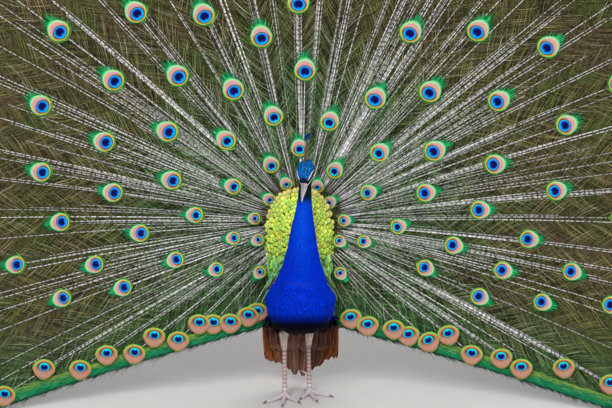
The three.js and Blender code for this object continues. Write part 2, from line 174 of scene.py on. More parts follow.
def addPiece(name, points, tris, material, tint=None, bake=None, eye=None, smooth=True, stands=()):
    mesh = bpy.data.meshes.new(name)
    mesh.vertices.add(len(points))
    mesh.vertices.foreach_set("co", np.ascontiguousarray(points, np.float32).ravel())
    mesh.loops.add(tris.size)
    mesh.loops.foreach_set("vertex_index", tris.astype(np.int32).ravel())
    mesh.polygons.add(len(tris))
    mesh.polygons.foreach_set("loop_start", np.arange(0, tris.size, 3, dtype=np.int32))
    mesh.update(calc_edges=True)
    mesh.shade_smooth() if smooth else mesh.shade_flat()
    if tint is not None:
        layer = mesh.color_attributes.new("tint", "FLOAT_COLOR", "POINT")
        layer.data.foreach_set("color", np.c_[tint, np.ones(len(tint))].astype(np.float32).ravel())
    for key, places in (("OFBake", bake), ("eye", eye)):
        if places is not None:
            uv = mesh.uv_layers.new(name=key)
            uv.data.foreach_set("uv", places[tris.ravel()].astype(np.float32).ravel())
    mesh.materials.append(material)
    return finishPiece(bpy.data.objects.new(name, mesh), stands)


def finishPiece(piece, stands=()):
    if piece.name not in bpy.context.scene.collection.objects:
        bpy.context.scene.collection.objects.link(piece)
    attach(piece, "root")
    if stands:
        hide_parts(*stands)
    return piece


# A closed blade from a cone: (along, across, height) points and triangles. The ridge is on top.
def lancet(sides=3, cuts=1, profile=None, flat=0.3):
    bm = bmesh.new()
    bmesh.ops.create_cone(bm, cap_ends=True, segments=sides, radius1=1, radius2=1, depth=1)
    long = [e for e in bm.edges if abs(e.verts[0].co.z - e.verts[1].co.z) > 0.5]
    if cuts:
        bmesh.ops.subdivide_edges(bm, edges=long, cuts=cuts, use_grid_fill=True)
    for v in bm.verts:
        t = v.co.z + 0.5
        r = profile(t) if profile else 1 - t
        v.co = (t, v.co.x * r, v.co.y * r * flat)
    bmesh.ops.remove_doubles(bm, verts=bm.verts, dist=1e-4)
    bmesh.ops.triangulate(bm, faces=bm.faces)
    return closedShape(bm)


def closedShape(bm):
    bmesh.ops.recalc_face_normals(bm, faces=bm.faces)
    points = np.array([v.co for v in bm.verts])
    tris = np.array([[v.index for v in f.verts] for f in bm.faces])
    bm.free()
    return points, tris


# A closed round scale or disc in the (along, across) plane, thin and domed.
def lens(around, rings, outline, dome=0.06, thick=0.05):
    bm = bmesh.new()
    bmesh.ops.create_uvsphere(bm, u_segments=around, v_segments=rings, radius=1)
    for v in bm.verts:
        turn = math.atan2(v.co.y, v.co.x)
        far = math.hypot(v.co.x, v.co.y)
        a, b = outline(turn)
        v.co = (a * far, b * far, v.co.z * thick + dome * (1 - far * far))
    bmesh.ops.triangulate(bm, faces=bm.faces)
    return closedShape(bm)


def column(value, n):
    return np.broadcast_to(np.asarray(value, float).reshape(-1, 1), (n, 1))


# Copies of a shape, one at each root, lying along it. bend lifts the tip, sweep turns it aside.
def stamp(shape, roots, along, normal, length, width, thick=None, bend=0.0, sweep=0.0):
    points, tris = shape
    n = len(roots)
    side = np.cross(along, normal)
    t, s, h = points.T
    long, wide, bend, sweep = (column(v, n) for v in (length, width, bend, sweep))
    thick = wide if thick is None else column(thick, n)
    ahead = (long * t)[..., None] * along[:, None]
    aside = (wide * s / 2 + sweep * long * t ** 2)[..., None] * side[:, None]
    above = (thick * h / 2 + bend * long * t ** 2)[..., None] * normal[:, None]
    placed = roots[:, None] + ahead + aside + above
    faces = tris[None] + (np.arange(n) * len(points))[:, None, None]
    return {"points": placed.reshape(-1, 3), "tris": faces.reshape(-1, 3), "t": np.tile(t, n),
            "s": np.tile(s, n), "which": np.repeat(np.arange(n), len(points))}


def joinStamps(stamps):
    out = {key: [] for key in stamps[0]}
    base = 0
    for one in stamps:
        for key, values in one.items():
            out[key].append(values + base if key == "tris" else values)
        base += len(one["points"])
    return {key: np.concatenate(values) for key, values in out.items()}


# Where each tuft is baked: a small patch at its root's place on the unwrap.
def patches(made, rootPlaces, size=0.003):
    return rootPlaces[made["which"]] + size * np.c_[made["t"] - 0.5, made["s"] * 0.3]


def unit(v):
    return v / np.maximum(np.linalg.norm(v, axis=-1, keepdims=True), 1e-9)


def ease(x, low, high):
    share = np.clip((x - low) / (high - low), 0, 1)
    return share * share * (3 - 2 * share)


def blendRows(a, b, share):
    share = np.asarray(share)[..., None]
    return a * (1 - share) + b * share


fan = {
    "root": (0.060 + shiftY, 0.442), "forward": 0.035, "bowlSide": 0.235, "bowlTop": 0.17,
    "lowest": -70, "topReach": 1.200, "cornerReach": 0.955, "cornerAngle": -27, "roundness": 2.2,
    "hemX": 0.100, "hemZ": 0.182, "hemSlope": 0.262, "floorGap": 0.012, "inner": 0.075,
}
# Spiral chains of eyespots, outwards: angle and reach of the first, the step of both, the change of each step.
chains = [
    (92, 0.190, 12.3, 0.095, 0, 0.005), (89, 0.392, 12.7, 0.096, 0, 0), (91, 0.565, 12.2, 0.100, 0, 0),
    (90, 0.770, 11.6, 0.098, 0, 0), (91, 0.965, 11.0, 0.092, 0, 0), (118, 0.168, 13.6, 0.120, -0.9, 0.003),
    (152, 0.198, 9.0, 0.148, -0.25, -0.012), (175, 0.271, 7.8, 0.138, -0.6, -0.020),
    (193, 0.179, 3.2, 0.152, 0, -0.006), (208, 0.250, 3, 1, 0, 0),
    (75.2, 0.273, -15.0, 0.094, 1.1, 0.009), (61.3, 0.559, -12.2, 0.098, 0.4, 0.002),
    (79, 0.668, -12.1, 0.099, 0, 0), (78, 0.872, -11.6, 0.098, 0, 0), (80, 1.055, -11.0, 0.085, 0, 0),
    (58.6, 0.159, -15.6, 0.106, 2.2, 0.010), (25, 0.184, -10.8, 0.137, 1.6, -0.008),
    (-2, 0.245, -5.3, 0.142, 0.25, -0.013), (-17.5, 0.160, -2.4, 0.168, 0, -0.012), (-35, 0.241, 3, 1, 0, 0),
]
# Eyespots along the hem, centimetres: distance from the middle and height over the hem line.
hemPlaces = {
    1: ((12.4, 3.0), (16.7, 2.4), (23.3, 3.2), (27.0, 2.6), (32.1, 2.5), (37.1, 5.7), (42.8, 2.4), (50.3, 4.0),
        (55.2, 3.1), (65.6, 6.6), (76.8, 6.3), (84.0, 4.0)),
    -1: ((11.4, 4.3), (13.7, 3.9), (18.2, 3.4), (22.5, 4.3), (26.1, 5.3), (31.3, 2.5), (37.4, 5.3), (42.3, 2.5),
         (49.3, 4.4), (55.9, 2.8), (64.7, 5.9), (74.2, 2.6), (83.0, 4.5)),
}
# Small eyespots round the mantle: angle, reach.
collar = [(111, 0.112), (142.5, 0.105), (173, 0.123), (205, 0.119), (229, 0.160), (68.5, 0.105), (38.7, 0.090),
          (5, 0.108), (-30.6, 0.103), (-52, 0.155)]
eyes = {"length": 0.0540, "rim": 0.14, "collarSize": 0.58, "hemSize": 0.97, "fringe": 46, "lift": 0.0085,
        "aboveHem": 0.15, "hemSquat": 0.88}
shafts = {"wide": 0.0031, "fine": 0.0011, "color": (0.95, 0.92, 0.93), "segments": 7, "extra": 56, "apart": 0.0052}
barbs = {"step": 0.0060, "long": 0.084, "wide": 0.0011, "start": 0.115}


# A point of the bowl: angle in degrees from +X, reach from the root.
def fanPoint(angle, reach):
    c, s = np.cos(np.radians(angle)), np.sin(np.radians(angle))
    bowl = fan["bowlSide"] + (fan["bowlTop"] - fan["bowlSide"]) * np.maximum(0, s)
    forward = fan["forward"] * ease(-s, 0, 0.9)
    return np.stack([c * reach, fan["root"][0] - forward - bowl * reach ** 2, fan["root"][1] + s * reach], -1)


# Outward and sideways directions in the sheet, and the way it faces.
def fanFrame(angle, reach):
    out = unit(fanPoint(angle, reach + 1e-3) - fanPoint(angle, reach - 1e-3))
    turn = unit(fanPoint(angle + 0.1, reach) - fanPoint(angle - 0.1, reach))
    return out, turn, unit(np.cross(out, turn)) * np.sign(-np.cross(out, turn)[..., 1:2])


# How far the fan reaches: a broad arc above and a straight hem below.
def fanEdge(angle):
    fromTop = np.minimum(1, np.abs(angle - 90) / (90 - fan["cornerAngle"]))
    arc = fan["topReach"] - (fan["topReach"] - fan["cornerReach"]) * fromTop ** fan["roundness"]
    c, down = np.abs(np.cos(np.radians(angle))), -np.sin(np.radians(angle))
    drop = fan["root"][1] - fan["hemZ"] - fan["hemSlope"] * fan["hemX"]
    fall = down - fan["hemSlope"] * c
    hem = np.where(fall > 0, drop / np.maximum(fall, 1e-6), 9)
    floor = (fan["root"][1] - fan["floorGap"]) / np.maximum(down, 1e-6)
    return np.where(down <= 0, arc, np.minimum(arc, np.minimum(hem, floor)))


def hemLine(x):
    return fan["hemZ"] - fan["hemSlope"] * (np.abs(x) - fan["hemX"])


# The sheet unwrapped flat, as seen square on, from 0 to 1.
def fanPlaces(points, low=None, size=None):
    flat = points[..., [0, 2]]
    low = flat.reshape(-1, 2).min(0) if low is None else low
    size = np.ptp(flat.reshape(-1, 2), axis=0).max() if size is None else size
    return 0.005 + 0.99 * (flat - low) / size


# angle, reach, size share and kind of every eyespot: field, collar and hem.
def eyeList():
    rows = []
    for angle, reach, turn, step, turnChange, stepChange in chains:
        while True:
            room = fanEdge(np.float64(angle)) - reach
            if room < eyes["rim"] or (angle > 222 or angle < -42):
                break
            small = 0.76 + 0.24 * ease(reach, 0.13, 0.40)
            low = 1 - 0.20 * ease(np.abs(angle - 90), 40, 115)
            x, z = reach * math.cos(math.radians(angle)), fan["root"][1] + reach * math.sin(math.radians(angle))
            if z - hemLine(x) > eyes["aboveHem"]:
                rows.append((angle, reach, small * low, 0))
            angle, reach = angle + turn, reach + step
            turn, step = turn + turnChange, step + stepChange
    rows += [(angle, reach, eyes["collarSize"], 1) for angle, reach in collar]
    for side, places in hemPlaces.items():
        for x, lift in places:
            up = hemLine(x / 100) + lift / 100 - fan["root"][1]
            rows.append((math.degrees(math.atan2(up, side * x / 100)) % 360, math.hypot(up, x / 100), eyes["hemSize"], 2))
    rows = np.array(rows)
    rows[:, 0] = (rows[:, 0] + 90) % 360 - 90
    wander = rng.normal(0, 1, (len(rows), 2)) * np.where(rows[:, 3:] == 0, 1, 0.3)
    rows[:, 0] += wander[:, 0] * 0.25
    rows[:, 1] += wander[:, 1] * 0.002
    return rows


# Rings of an eyespot from its own map: base at -1, tip at +1 along the first axis.
def eyeMaterial():
    mat = bpy.data.materials.new("eyespot")
    mat.use_nodes = True
    tree = mat.node_tree
    bsdf = tree.nodes["Principled BSDF"]
    uv = addNode(tree, "ShaderNodeUVMap", uv_map="eye").outputs["UV"]
    apart = addNode(tree, "ShaderNodeSeparateXYZ", {"Vector": uv})
    a, b = apart.outputs["X"], apart.outputs["Y"]

    def distance(centre, squash=1.0):
        da = mathNode(tree, "SUBTRACT", a, centre)
        db = mathNode(tree, "MULTIPLY", b, squash)
        return mathNode(tree, "SQRT", mathNode(tree, "ADD", mathNode(tree, "MULTIPLY", da, da), mathNode(tree, "MULTIPLY", db, db)))

    def rings(stops):
        return ramp(tree, rho, [(place / 1.3, color) for place, color in stops])

    tipward = mathNode(tree, "MAXIMUM", a, 0.0)
    rounder = mathNode(tree, "SUBTRACT", a, mathNode(tree, "MULTIPLY", tipward, 0.11))
    square = mathNode(tree, "ADD", mathNode(tree, "MULTIPLY", rounder, rounder), mathNode(tree, "MULTIPLY", b, b))
    rho = mathNode(tree, "DIVIDE", mathNode(tree, "SQRT", square), 1.3)
    baseSide = rings([
        (0.0, (0.16, 0.04, 0.01)), (0.74, (0.24, 0.06, 0.012)), (0.80, (0.60, 0.20, 0.03)), (0.85, (0.66, 0.36, 0.05)),
        (0.89, (0.62, 0.62, 0.10)), (0.94, (0.28, 0.60, 0.10)), (1.0, (0.05, 0.46, 0.12)), (1.12, (0.015, 0.34, 0.10)),
        (1.26, (0.006, 0.16, 0.05))])
    tipSide = rings([
        (0.0, (0.50, 0.22, 0.18)), (0.62, (0.60, 0.31, 0.28)), (0.74, (0.58, 0.35, 0.31)), (0.83, (0.46, 0.60, 0.38)),
        (0.90, (0.34, 0.66, 0.26)), (0.97, (0.06, 0.50, 0.16)), (1.10, (0.012, 0.38, 0.12)), (1.26, (0.006, 0.20, 0.07))])
    hemBase = rings([
        (0.0, (0.05, 0.018, 0.010)), (0.62, (0.10, 0.035, 0.015)), (0.74, (0.40, 0.15, 0.05)), (0.84, (0.46, 0.34, 0.07)),
        (0.92, (0.40, 0.52, 0.09)), (1.01, (0.10, 0.38, 0.07))])
    hemTip = rings([
        (0.0, (0.34, 0.14, 0.10)), (0.60, (0.47, 0.25, 0.18)), (0.86, (0.46, 0.23, 0.15)), (0.95, (0.40, 0.20, 0.09)),
        (1.01, (0.16, 0.26, 0.07))])
    kind = addNode(tree, "ShaderNodeSeparateColor", {"Color": addNode(tree, "ShaderNodeAttribute", attribute_name="tint").outputs["Color"]})
    side = mathNode(tree, "MULTIPLY_ADD", a, 1.5, 0.45, clamp=True)
    ringed = mixColor(tree, side, baseSide, tipSide)
    ringed = mixColor(tree, kind.outputs["Green"], ringed, mixColor(tree, side, hemBase, hemTip))
    small = kind.outputs["Red"]
    notch = mathNode(tree, "MULTIPLY", mathNode(tree, "LESS_THAN", mathNode(tree, "ABSOLUTE", b), 0.08),
                     mathNode(tree, "LESS_THAN", a, -0.30))
    pupil = mathNode(tree, "DIVIDE", mathNode(tree, "ADD", distance(-0.14, 0.95), mathNode(tree, "MULTIPLY", notch, 0.10)), small)
    iris = ramp(tree, pupil, [
        (0.0, (0.002, 0.002, 0.035)), (0.29, (0.002, 0.004, 0.08)), (0.36, (0.0, 0.02, 0.36)),
        (0.41, (0.0, 0.17, 0.72)), (1.0, (0.0, 0.19, 0.74))])
    outer = mixColor(tree, mathNode(tree, "LESS_THAN", small, 0.945), (0.0, 0.38, 0.80), (0.0, 0.66, 0.62))
    iris = mixColor(tree, ramp(tree, pupil, [(0.41, (0, 0, 0)), (0.50, (1, 1, 1))]), iris, outer)
    disc = mathNode(tree, "DIVIDE", distance(-0.19, 0.97), small)
    inside = ramp(tree, disc, [(0.56, (1, 1, 1)), (0.58, (0, 0, 0))])
    rimmed = ramp(tree, disc, [(0.62, (1, 1, 1)), (0.68, (0, 0, 0))])
    withRim = mixColor(tree, rimmed, ringed, (0.07, 0.035, 0.015))
    whole = mixColor(tree, inside, withRim, iris)
    lean = mathNode(tree, "SUBTRACT", a, mathNode(tree, "MULTIPLY", mathNode(tree, "ABSOLUTE", b), 0.9))
    barbLine = mathNode(tree, "SINE", mathNode(tree, "MULTIPLY", lean, 150.0))
    hairy = mathNode(tree, "MULTIPLY_ADD", mathNode(tree, "GREATER_THAN", rho, 0.96 / 1.3), 0.22, 0.10)
    tone = mathNode(tree, "ADD", mathNode(tree, "MULTIPLY", barbLine, hairy), 0.90)
    shade = addNode(tree, "ShaderNodeCombineXYZ", {"X": tone, "Y": tone, "Z": tone}).outputs[0]
    tree.links.new(mixColor(tree, 1.0, whole, shade, "MULTIPLY"), bsdf.inputs["Base Color"])
    bump = addNode(tree, "ShaderNodeBump", {"Height": barbLine}, Strength=0.2, Distance=0.0004)
    tree.links.new(bump.outputs["Normal"], bsdf.inputs["Normal"])
    bsdf.inputs["Roughness"].default_value = 0.6
    bsdf.inputs["Specular IOR Level"].default_value = 0.06
    return mat


def eyeOutline(turn):
    c, s = math.cos(turn), math.sin(turn)
    ragged = 1.06 + 0.02 * math.sin(turn * 9)
    return ragged * c * (1 + 0.22 * max(0, c) ** 3), ragged * s * (1.0 - 0.10 * max(0, c))


def makeEyes(rows):
    shape = lens(36, 7, eyeOutline, dome=0.07, thick=0.03)
    angle, reach, size, kind = rows.T
    half = eyes["length"] / 2 * size
    out, turn, face = fanFrame(angle, reach)
    hem = kind == 2
    down = unit(np.c_[0.15 * np.sign(out[:, 0]), np.zeros(len(out)), -np.ones(len(out))])
    down = unit(down - face * (down * face).sum(1, keepdims=True))
    out[hem] = down[hem]
    wobble = rng.normal(0, 0.10, len(rows))
    out = unit(out + np.cross(face, out) * wobble[:, None])
    lift = eyes["lift"] + 0.004 * (1 - reach) + np.where(kind == 1, 0.020, 0) + np.where(hem, 0.006 + 0.002 * (np.arange(len(rows)) % 3), 0)
    centre = fanPoint(angle, reach) + face * lift[:, None]
    squat = np.where(hem, eyes["hemSquat"], 1.0)
    made = stamp(shape, centre, out, face, half * squat, 2 * half / np.sqrt(squat), thick=2 * half)
    local = np.c_[np.tile(shape[0][:, 0], len(rows)), np.tile(shape[0][:, 1], len(rows))]
    across = math.ceil(math.sqrt(len(rows)))
    cell = np.c_[made["which"] % across, made["which"] // across]
    bake = (cell + 0.5 + local * 0.31) / across
    disc = np.where(kind == 0, 0.90 + 0.10 * ease(reach, 0.15, 0.45), np.where(kind == 1, 0.74, 0.76))
    marks = np.c_[disc, kind == 2, np.zeros(len(rows))][made["which"]]
    addPiece("eyespots", made["points"], made["tris"], eyeMaterial(), tint=marks, bake=bake, eye=local)
    print("eyespots", len(rows))
    return centre, out, face, half, lift


# The closed cloth of feathers behind the barbs.
def makeSheet():
    across, deep = 260, 36
    angle = np.linspace(fan["lowest"] + 0.4, 180 - fan["lowest"] - 0.4, across)
    share = np.linspace(0, 1, deep)
    edge = fanEdge(angle)
    loose = 1 - ease(np.abs(angle - 90), 102, 120)
    outer = edge - 0.022 - loose * (0.128 + 0.012 * (np.arange(across) % 2))
    reach = fan["inner"] + (outer - fan["inner"])[:, None] * share[None]
    spots = fanPoint(angle[:, None], reach)
    face = fanFrame(angle[:, None], reach)[2]
    half = 0.0008
    layers = [spots + face * (half + 0.001), spots + face * (0.001 - half)]
    points = np.concatenate([layer.reshape(-1, 3) for layer in layers])
    i, j = np.meshgrid(np.arange(across - 1), np.arange(deep - 1), indexing="ij")
    a = (i * deep + j).ravel()
    b, c, d = a + deep, a + deep + 1, a + 1
    front = np.concatenate([np.c_[a, b, c], np.c_[a, c, d]])
    n = across * deep
    rim = np.concatenate([np.arange(deep), np.arange(1, across) * deep + deep - 1,
                          np.arange(deep - 2, -1, -1) + (across - 1) * deep, np.arange(across - 2, 0, -1) * deep])
    nxt = np.roll(rim, -1)
    walls = np.concatenate([np.c_[rim, nxt, nxt + n], np.c_[rim, nxt + n, rim + n]])
    tris = np.concatenate([front, front[:, ::-1] + n, walls[:, ::-1]])
    places = np.concatenate([fanPlaces(layer.reshape(-1, 3)) for layer in layers])
    polar = np.tile(np.c_[np.repeat(angle, deep) / 10, reach.ravel() * 10], (2, 1))
    mat = sheetMaterial()
    return addPiece("trainSheet", points, tris, mat, bake=places, eye=polar,
                    stands=[f"train_{k + 1:02d}" for k in range(12)])


# Fine barbs slanting off radial shafts, from the map of angle and reach. The pale barb lines are the feathers' colour;
# the near-black between them is painted shade, dark green near the hem.
def sheetMaterial():
    mat = bpy.data.materials.new("trainCloth")
    mat.use_nodes = True
    tree = mat.node_tree
    bsdf = tree.nodes["Principled BSDF"]
    uv = addNode(tree, "ShaderNodeUVMap", uv_map="eye").outputs["UV"]
    apart = addNode(tree, "ShaderNodeSeparateXYZ", {"Vector": uv})
    angle, reach = apart.outputs["X"], apart.outputs["Y"]
    cell = mathNode(tree, "PINGPONG", angle, 0.19)
    where = addNode(tree, "ShaderNodeTexCoord").outputs["Object"]
    warp = addNode(tree, "ShaderNodeTexNoise", {"Vector": where}, Scale=26.0, Detail=1.0).outputs["Fac"]
    slant = mathNode(tree, "MULTIPLY", mathNode(tree, "SUBTRACT", reach, mathNode(tree, "MULTIPLY", cell, 2.4)), 105.0)
    wave = mathNode(tree, "SINE", mathNode(tree, "MULTIPLY_ADD", warp, 16.0, slant))
    patchy = addNode(tree, "ShaderNodeTexNoise", {"Vector": where}, Scale=9.0, Detail=2.0).outputs["Fac"]
    fine = addNode(tree, "ShaderNodeTexNoise", {"Vector": where}, Scale=140.0, Detail=2.0).outputs["Fac"]
    line = mathNode(tree, "MULTIPLY", mathNode(tree, "MULTIPLY_ADD", wave, 0.6, 0.1, clamp=True),
                    mathNode(tree, "MULTIPLY_ADD", fine, 2.4, -0.5, clamp=True))
    # painted shade: the near-black between the pale barb lines, in the depth of the fan
    dark = ramp(tree, patchy, [(0.35, (0.003, 0.009, 0.003)), (0.6, (0.008, 0.005, 0.003))])
    pale = ramp(tree, patchy, [(0.35, (0.26, 0.32, 0.07)), (0.6, (0.34, 0.27, 0.12))])
    place = addNode(tree, "ShaderNodeSeparateXYZ", {"Vector": where})
    beside = mathNode(tree, "ABSOLUTE", place.outputs["X"])
    aboveHem = mathNode(tree, "MULTIPLY_ADD", beside, fan["hemSlope"], mathNode(tree, "SUBTRACT", place.outputs["Z"], 0.208))
    low = mathNode(tree, "MULTIPLY", mathNode(tree, "MULTIPLY_ADD", aboveHem, -7.0, 1.35, clamp=True), 0.62)
    dark = mixColor(tree, low, dark, (0.003, 0.040, 0.014))
    pale = mixColor(tree, low, pale, (0.10, 0.36, 0.12))
    tree.links.new(mixColor(tree, line, dark, pale), bsdf.inputs["Base Color"])
    bsdf.inputs["Roughness"].default_value = 0.8
    bsdf.inputs["Specular IOR Level"].default_value = 0.1
    return mat


# Tapering three-sided shafts along the sheet.
def makeShafts(angle, start, reach, height, name, front=1, aside=0.0, fine=1.0):
    n, k = len(angle), shafts["segments"] + 1
    share = np.linspace(0, 1, k)
    far = start[:, None] + (reach - start)[:, None] * share[None]
    spots = fanPoint(angle[:, None], far)
    out, turn, face = fanFrame(angle[:, None], far)
    wide = (shafts["wide"] * (1 - ease(far, 0.1, 1.1) * 0.45) * (1 - 0.45 * share[None]) + shafts["fine"])[..., None] / 2
    wide = wide * fine * (0.62 + 0.38 * ease(far, 0.14, 0.52))[..., None]
    middle = spots + face * (front * height[:, None, None]) + turn * np.broadcast_to(aside, n)[:, None, None]
    corners = np.stack([middle + turn * wide, middle - turn * wide, middle + face * front * wide * 1.3], 2)
    points = corners.reshape(-1, 3)
    tris = []
    for j in range(k - 1):
        for m in range(3):
            a, b = j * 3 + m, j * 3 + (m + 1) % 3
            tris += [(a, b, b + 3), (a, b + 3, a + 3)]
    tris += [(0, 2, 1), ((k - 1) * 3, (k - 1) * 3 + 1, (k - 1) * 3 + 2)]
    tris = np.array(tris)[None] + (np.arange(n) * k * 3)[:, None, None]
    if front < 0:
        tris = tris[..., ::-1]
    tone = rng.uniform(0.22, 1.0, n) ** 0.7 * 1.2
    tint = np.repeat(np.array(shafts["color"])[None] * tone[:, None], k * 3, 0)
    tint *= (1 - 0.28 * np.tile(np.repeat(share, 3), n) ** 2)[:, None]
    run = np.c_[np.repeat(far.ravel(), 3) * 100, np.repeat(np.arange(n), k * 3) * 0.37]
    addPiece(name, points, tris.reshape(-1, 3), shaftMaterial(name), tint=tint, bake=fanPlaces(points),
             eye=run)


# Whitish horn, broken by dark barbs that cross it.
def shaftMaterial(name):
    mat = bpy.data.materials.new(name + "Horn")
    mat.use_nodes = True
    tree = mat.node_tree
    bsdf = tree.nodes["Principled BSDF"]
    run, row = mapCoords(tree)
    where = addNode(tree, "ShaderNodeCombineXYZ", {"X": run, "Y": row})
    noise = addNode(tree, "ShaderNodeTexNoise", {"Vector": where.outputs[0]}, Scale=0.8, Detail=2.0).outputs["Fac"]
    beads = mathNode(tree, "SINE", mathNode(tree, "MULTIPLY_ADD", run, 5.0, mathNode(tree, "MULTIPLY", noise, 14.0)))
    crossed = mathNode(tree, "MULTIPLY", mathNode(tree, "MULTIPLY_ADD", beads, 4.0, -1.2, clamp=True),
                       mathNode(tree, "MULTIPLY_ADD", run, 0.014, 0.12, clamp=True))
    tint = addNode(tree, "ShaderNodeAttribute", attribute_name="tint").outputs["Color"]
    tree.links.new(mixColor(tree, mathNode(tree, "MINIMUM", crossed, 0.85), tint, (0.05, 0.06, 0.02)), bsdf.inputs["Base Color"])
    bsdf.inputs["Roughness"].default_value = 0.5
    bsdf.inputs["Specular IOR Level"].default_value = 0.2
    return mat


# Olive bronze and brown, greener near the root and the hem, with painted shade: many barbs are painted near black, more
# of them higher up and to the right, fewer near the hem.
def trainTint(angle, reach, n):
    olive, brown = np.array([0.36, 0.33, 0.10]), np.array([0.34, 0.19, 0.11])
    green, grey = np.array([0.040, 0.30, 0.08]), np.array([0.50, 0.50, 0.40])
    x, up = reach * np.cos(np.radians(angle)), reach * np.sin(np.radians(angle))
    low = 1 - ease(fan["root"][1] + up - hemLine(x), 0.06, 0.20)
    greenness = 0.20 + 0.70 * (1 - ease(reach, 0.25, 0.60)) + 0.45 * low
    greenness = np.clip(greenness + rng.normal(0, 0.2, n), 0, 1)
    base = blendRows(brown, olive, rng.uniform(0, 1, n))
    base = blendRows(base, green, greenness * 0.8)
    base = blendRows(base, grey, (rng.uniform(0, 1, n) < 0.20) * 0.75)
    # painted shade: about half the barbs or more are made near black for the shade in the depth of the fan
    dark = 0.50 + (0.20 + 0.07 * ease(x, 0.05, 0.5)) * ease(up, 0.25, 0.75) - 0.04 * low
    shade = np.where(rng.uniform(0, 1, n) < dark, 0.035, 1.05) * np.exp(rng.normal(0.0, 0.30, n))
    return base * shade[:, None]


# Loose barbs on both sides of every shaft, sorted into sectors of the fan.
def makeBarbs(rows):
    shape = lancet(3, 2, lambda t: 0.25 + 1.5 * t if t < 0.4 else 0.85 - 0.6 * (t - 0.4) if t < 0.99 else 0.0, flat=0.4)
    angle, start, reach, height = rows.T
    per = np.maximum(2, ((reach - start) / barbs["step"]).astype(int))
    feather = np.repeat(np.arange(len(rows)), per)
    order = np.concatenate([np.arange(k) for k in per])
    far = start[feather] + (order + rng.uniform(0, 1, len(order))) * barbs["step"]
    roots = []
    for side in (1, -1):
        roots.append(np.c_[angle[feather], far, height[feather], np.full(len(far), side), reach[feather]])
    angle, far, height, side, reach = np.concatenate(roots).T
    n = len(angle)
    out, turn, face = fanFrame(angle, far)
    tip = 1 - (far - 0.1) / (reach - 0.1)
    open_ = np.radians(24 + 26 * ease(tip, 0.0, 0.22) + rng.normal(0, 3.5, n))
    along = out * np.cos(open_)[:, None] + turn * (np.sin(open_) * side)[:, None]
    long = barbs["long"] * rng.uniform(0.75, 1.15, n) * (0.62 + 0.38 * ease(far, 0.1, 0.4))
    long = np.minimum(long, np.maximum(0.02, (fanEdge(angle) - far) * 1.05))
    root = fanPoint(angle, far) + face * (height + rng.uniform(-0.001, 0.0025, n))[:, None]
    long = np.minimum(long, np.maximum(0.004, (root[:, 2] - 0.008) / np.maximum(-along[:, 2] + 0.15, 0.05)))
    sweepWay = np.sign((np.cross(along, face) * out).sum(1))
    made = stamp(shape, root, along, face, long, barbs["wide"], bend=rng.normal(0.015, 0.02, n), sweep=0.20 * sweepWay)
    made["points"][:, 2] = np.maximum(made["points"][:, 2], 0.003)
    tone = trainTint(angle, far, n)
    tint = tone[made["which"]] * (0.75 + 0.6 * made["t"])[:, None]
    mat = newMaterial("trainBarb", (1, 1, 1), rough=0.6, mottle=0.1, grain=260, bump=0, attribute="tint", shine=0.15)
    sector = np.clip(((angle + 70) / 320 * 6).astype(int), 0, 5)
    low, size = fanPlaces(root).min(0), 1
    for k in range(6):
        keep = sector[made["which"]] == k
        index = np.cumsum(keep) - 1
        tris = made["tris"][keep[made["tris"][:, 0]]]
        places = fanPlaces(root, root[sector == k][:, [0, 2]].min(0), np.ptp(root[sector == k][:, [0, 2]], axis=0).max())
        bake = patches(made, places)[keep]
        addPiece(f"trainBarbs_{k + 1}", made["points"][keep], index[tris], mat, tint=tint[keep], bake=bake)
    print("train barbs", n, "triangles", len(made["tris"]))


# Emerald barbs that spring from behind each eyespot and trail past its tip.
def makeFringes(rows, centre, out, face, half):
    shape = lancet(3, 2, lambda t: 0.4 + 1.2 * t if t < 0.4 else 0.88 - 0.8 * (t - 0.4) if t < 0.99 else 0.0, flat=0.4)
    count = eyes["fringe"]
    field = np.nonzero(rows[:, 3] != 2)[0]
    n = len(field)
    which = np.repeat(field, 2 * count)
    k = np.tile(np.repeat(np.arange(count), 2), n)
    side = np.tile([1, -1], n * count)
    share = (k + rng.uniform(0, 1, len(k))) / count
    from_ = (-1.30 + 2.15 * share) * half[which]
    open_ = np.radians(62 - 50 * share + rng.normal(0, 4, len(k)))
    along = out[which] * np.cos(open_)[:, None] + np.cross(face, out)[which] * (np.sin(open_) * side)[:, None]
    long = half[which] * (1.60 - 0.50 * share + 0.30 * np.sin(np.pi * share) + rng.normal(0, 0.14, len(k)))
    root = centre[which] + out[which] * from_[:, None] - face[which] * (0.0012 + 0.0015 * rng.uniform(0, 1, len(k)))[:, None]
    sweepWay = np.sign((np.cross(along, face[which]) * out[which]).sum(1))
    made = stamp(shape, root, along, face[which], long, 0.0022, bend=-0.02, sweep=0.16 * sweepWay)
    emerald, gold, bronze = np.array([0.008, 0.34, 0.11]), np.array([0.22, 0.42, 0.06]), np.array([0.04, 0.14, 0.03])
    base = blendRows(gold, emerald, ease(share + rng.normal(0, 0.1, len(k)), 0.02, 0.25))
    base = base * np.exp(rng.normal(0, 0.42, len(k)))[:, None]
    tint = blendRows(base[made["which"]], bronze, ease(made["t"], 0.75, 1.1) * 0.5)
    mat = newMaterial("fringeBarb", (1, 1, 1), rough=0.5, mottle=0.1, grain=260, bump=0, attribute="tint", shine=0.2)
    addPiece("eyeFringes", made["points"], made["tris"], mat, tint=tint,
             bake=patches(made, fanPlaces(root)))
    print("fringe barbs", len(k))


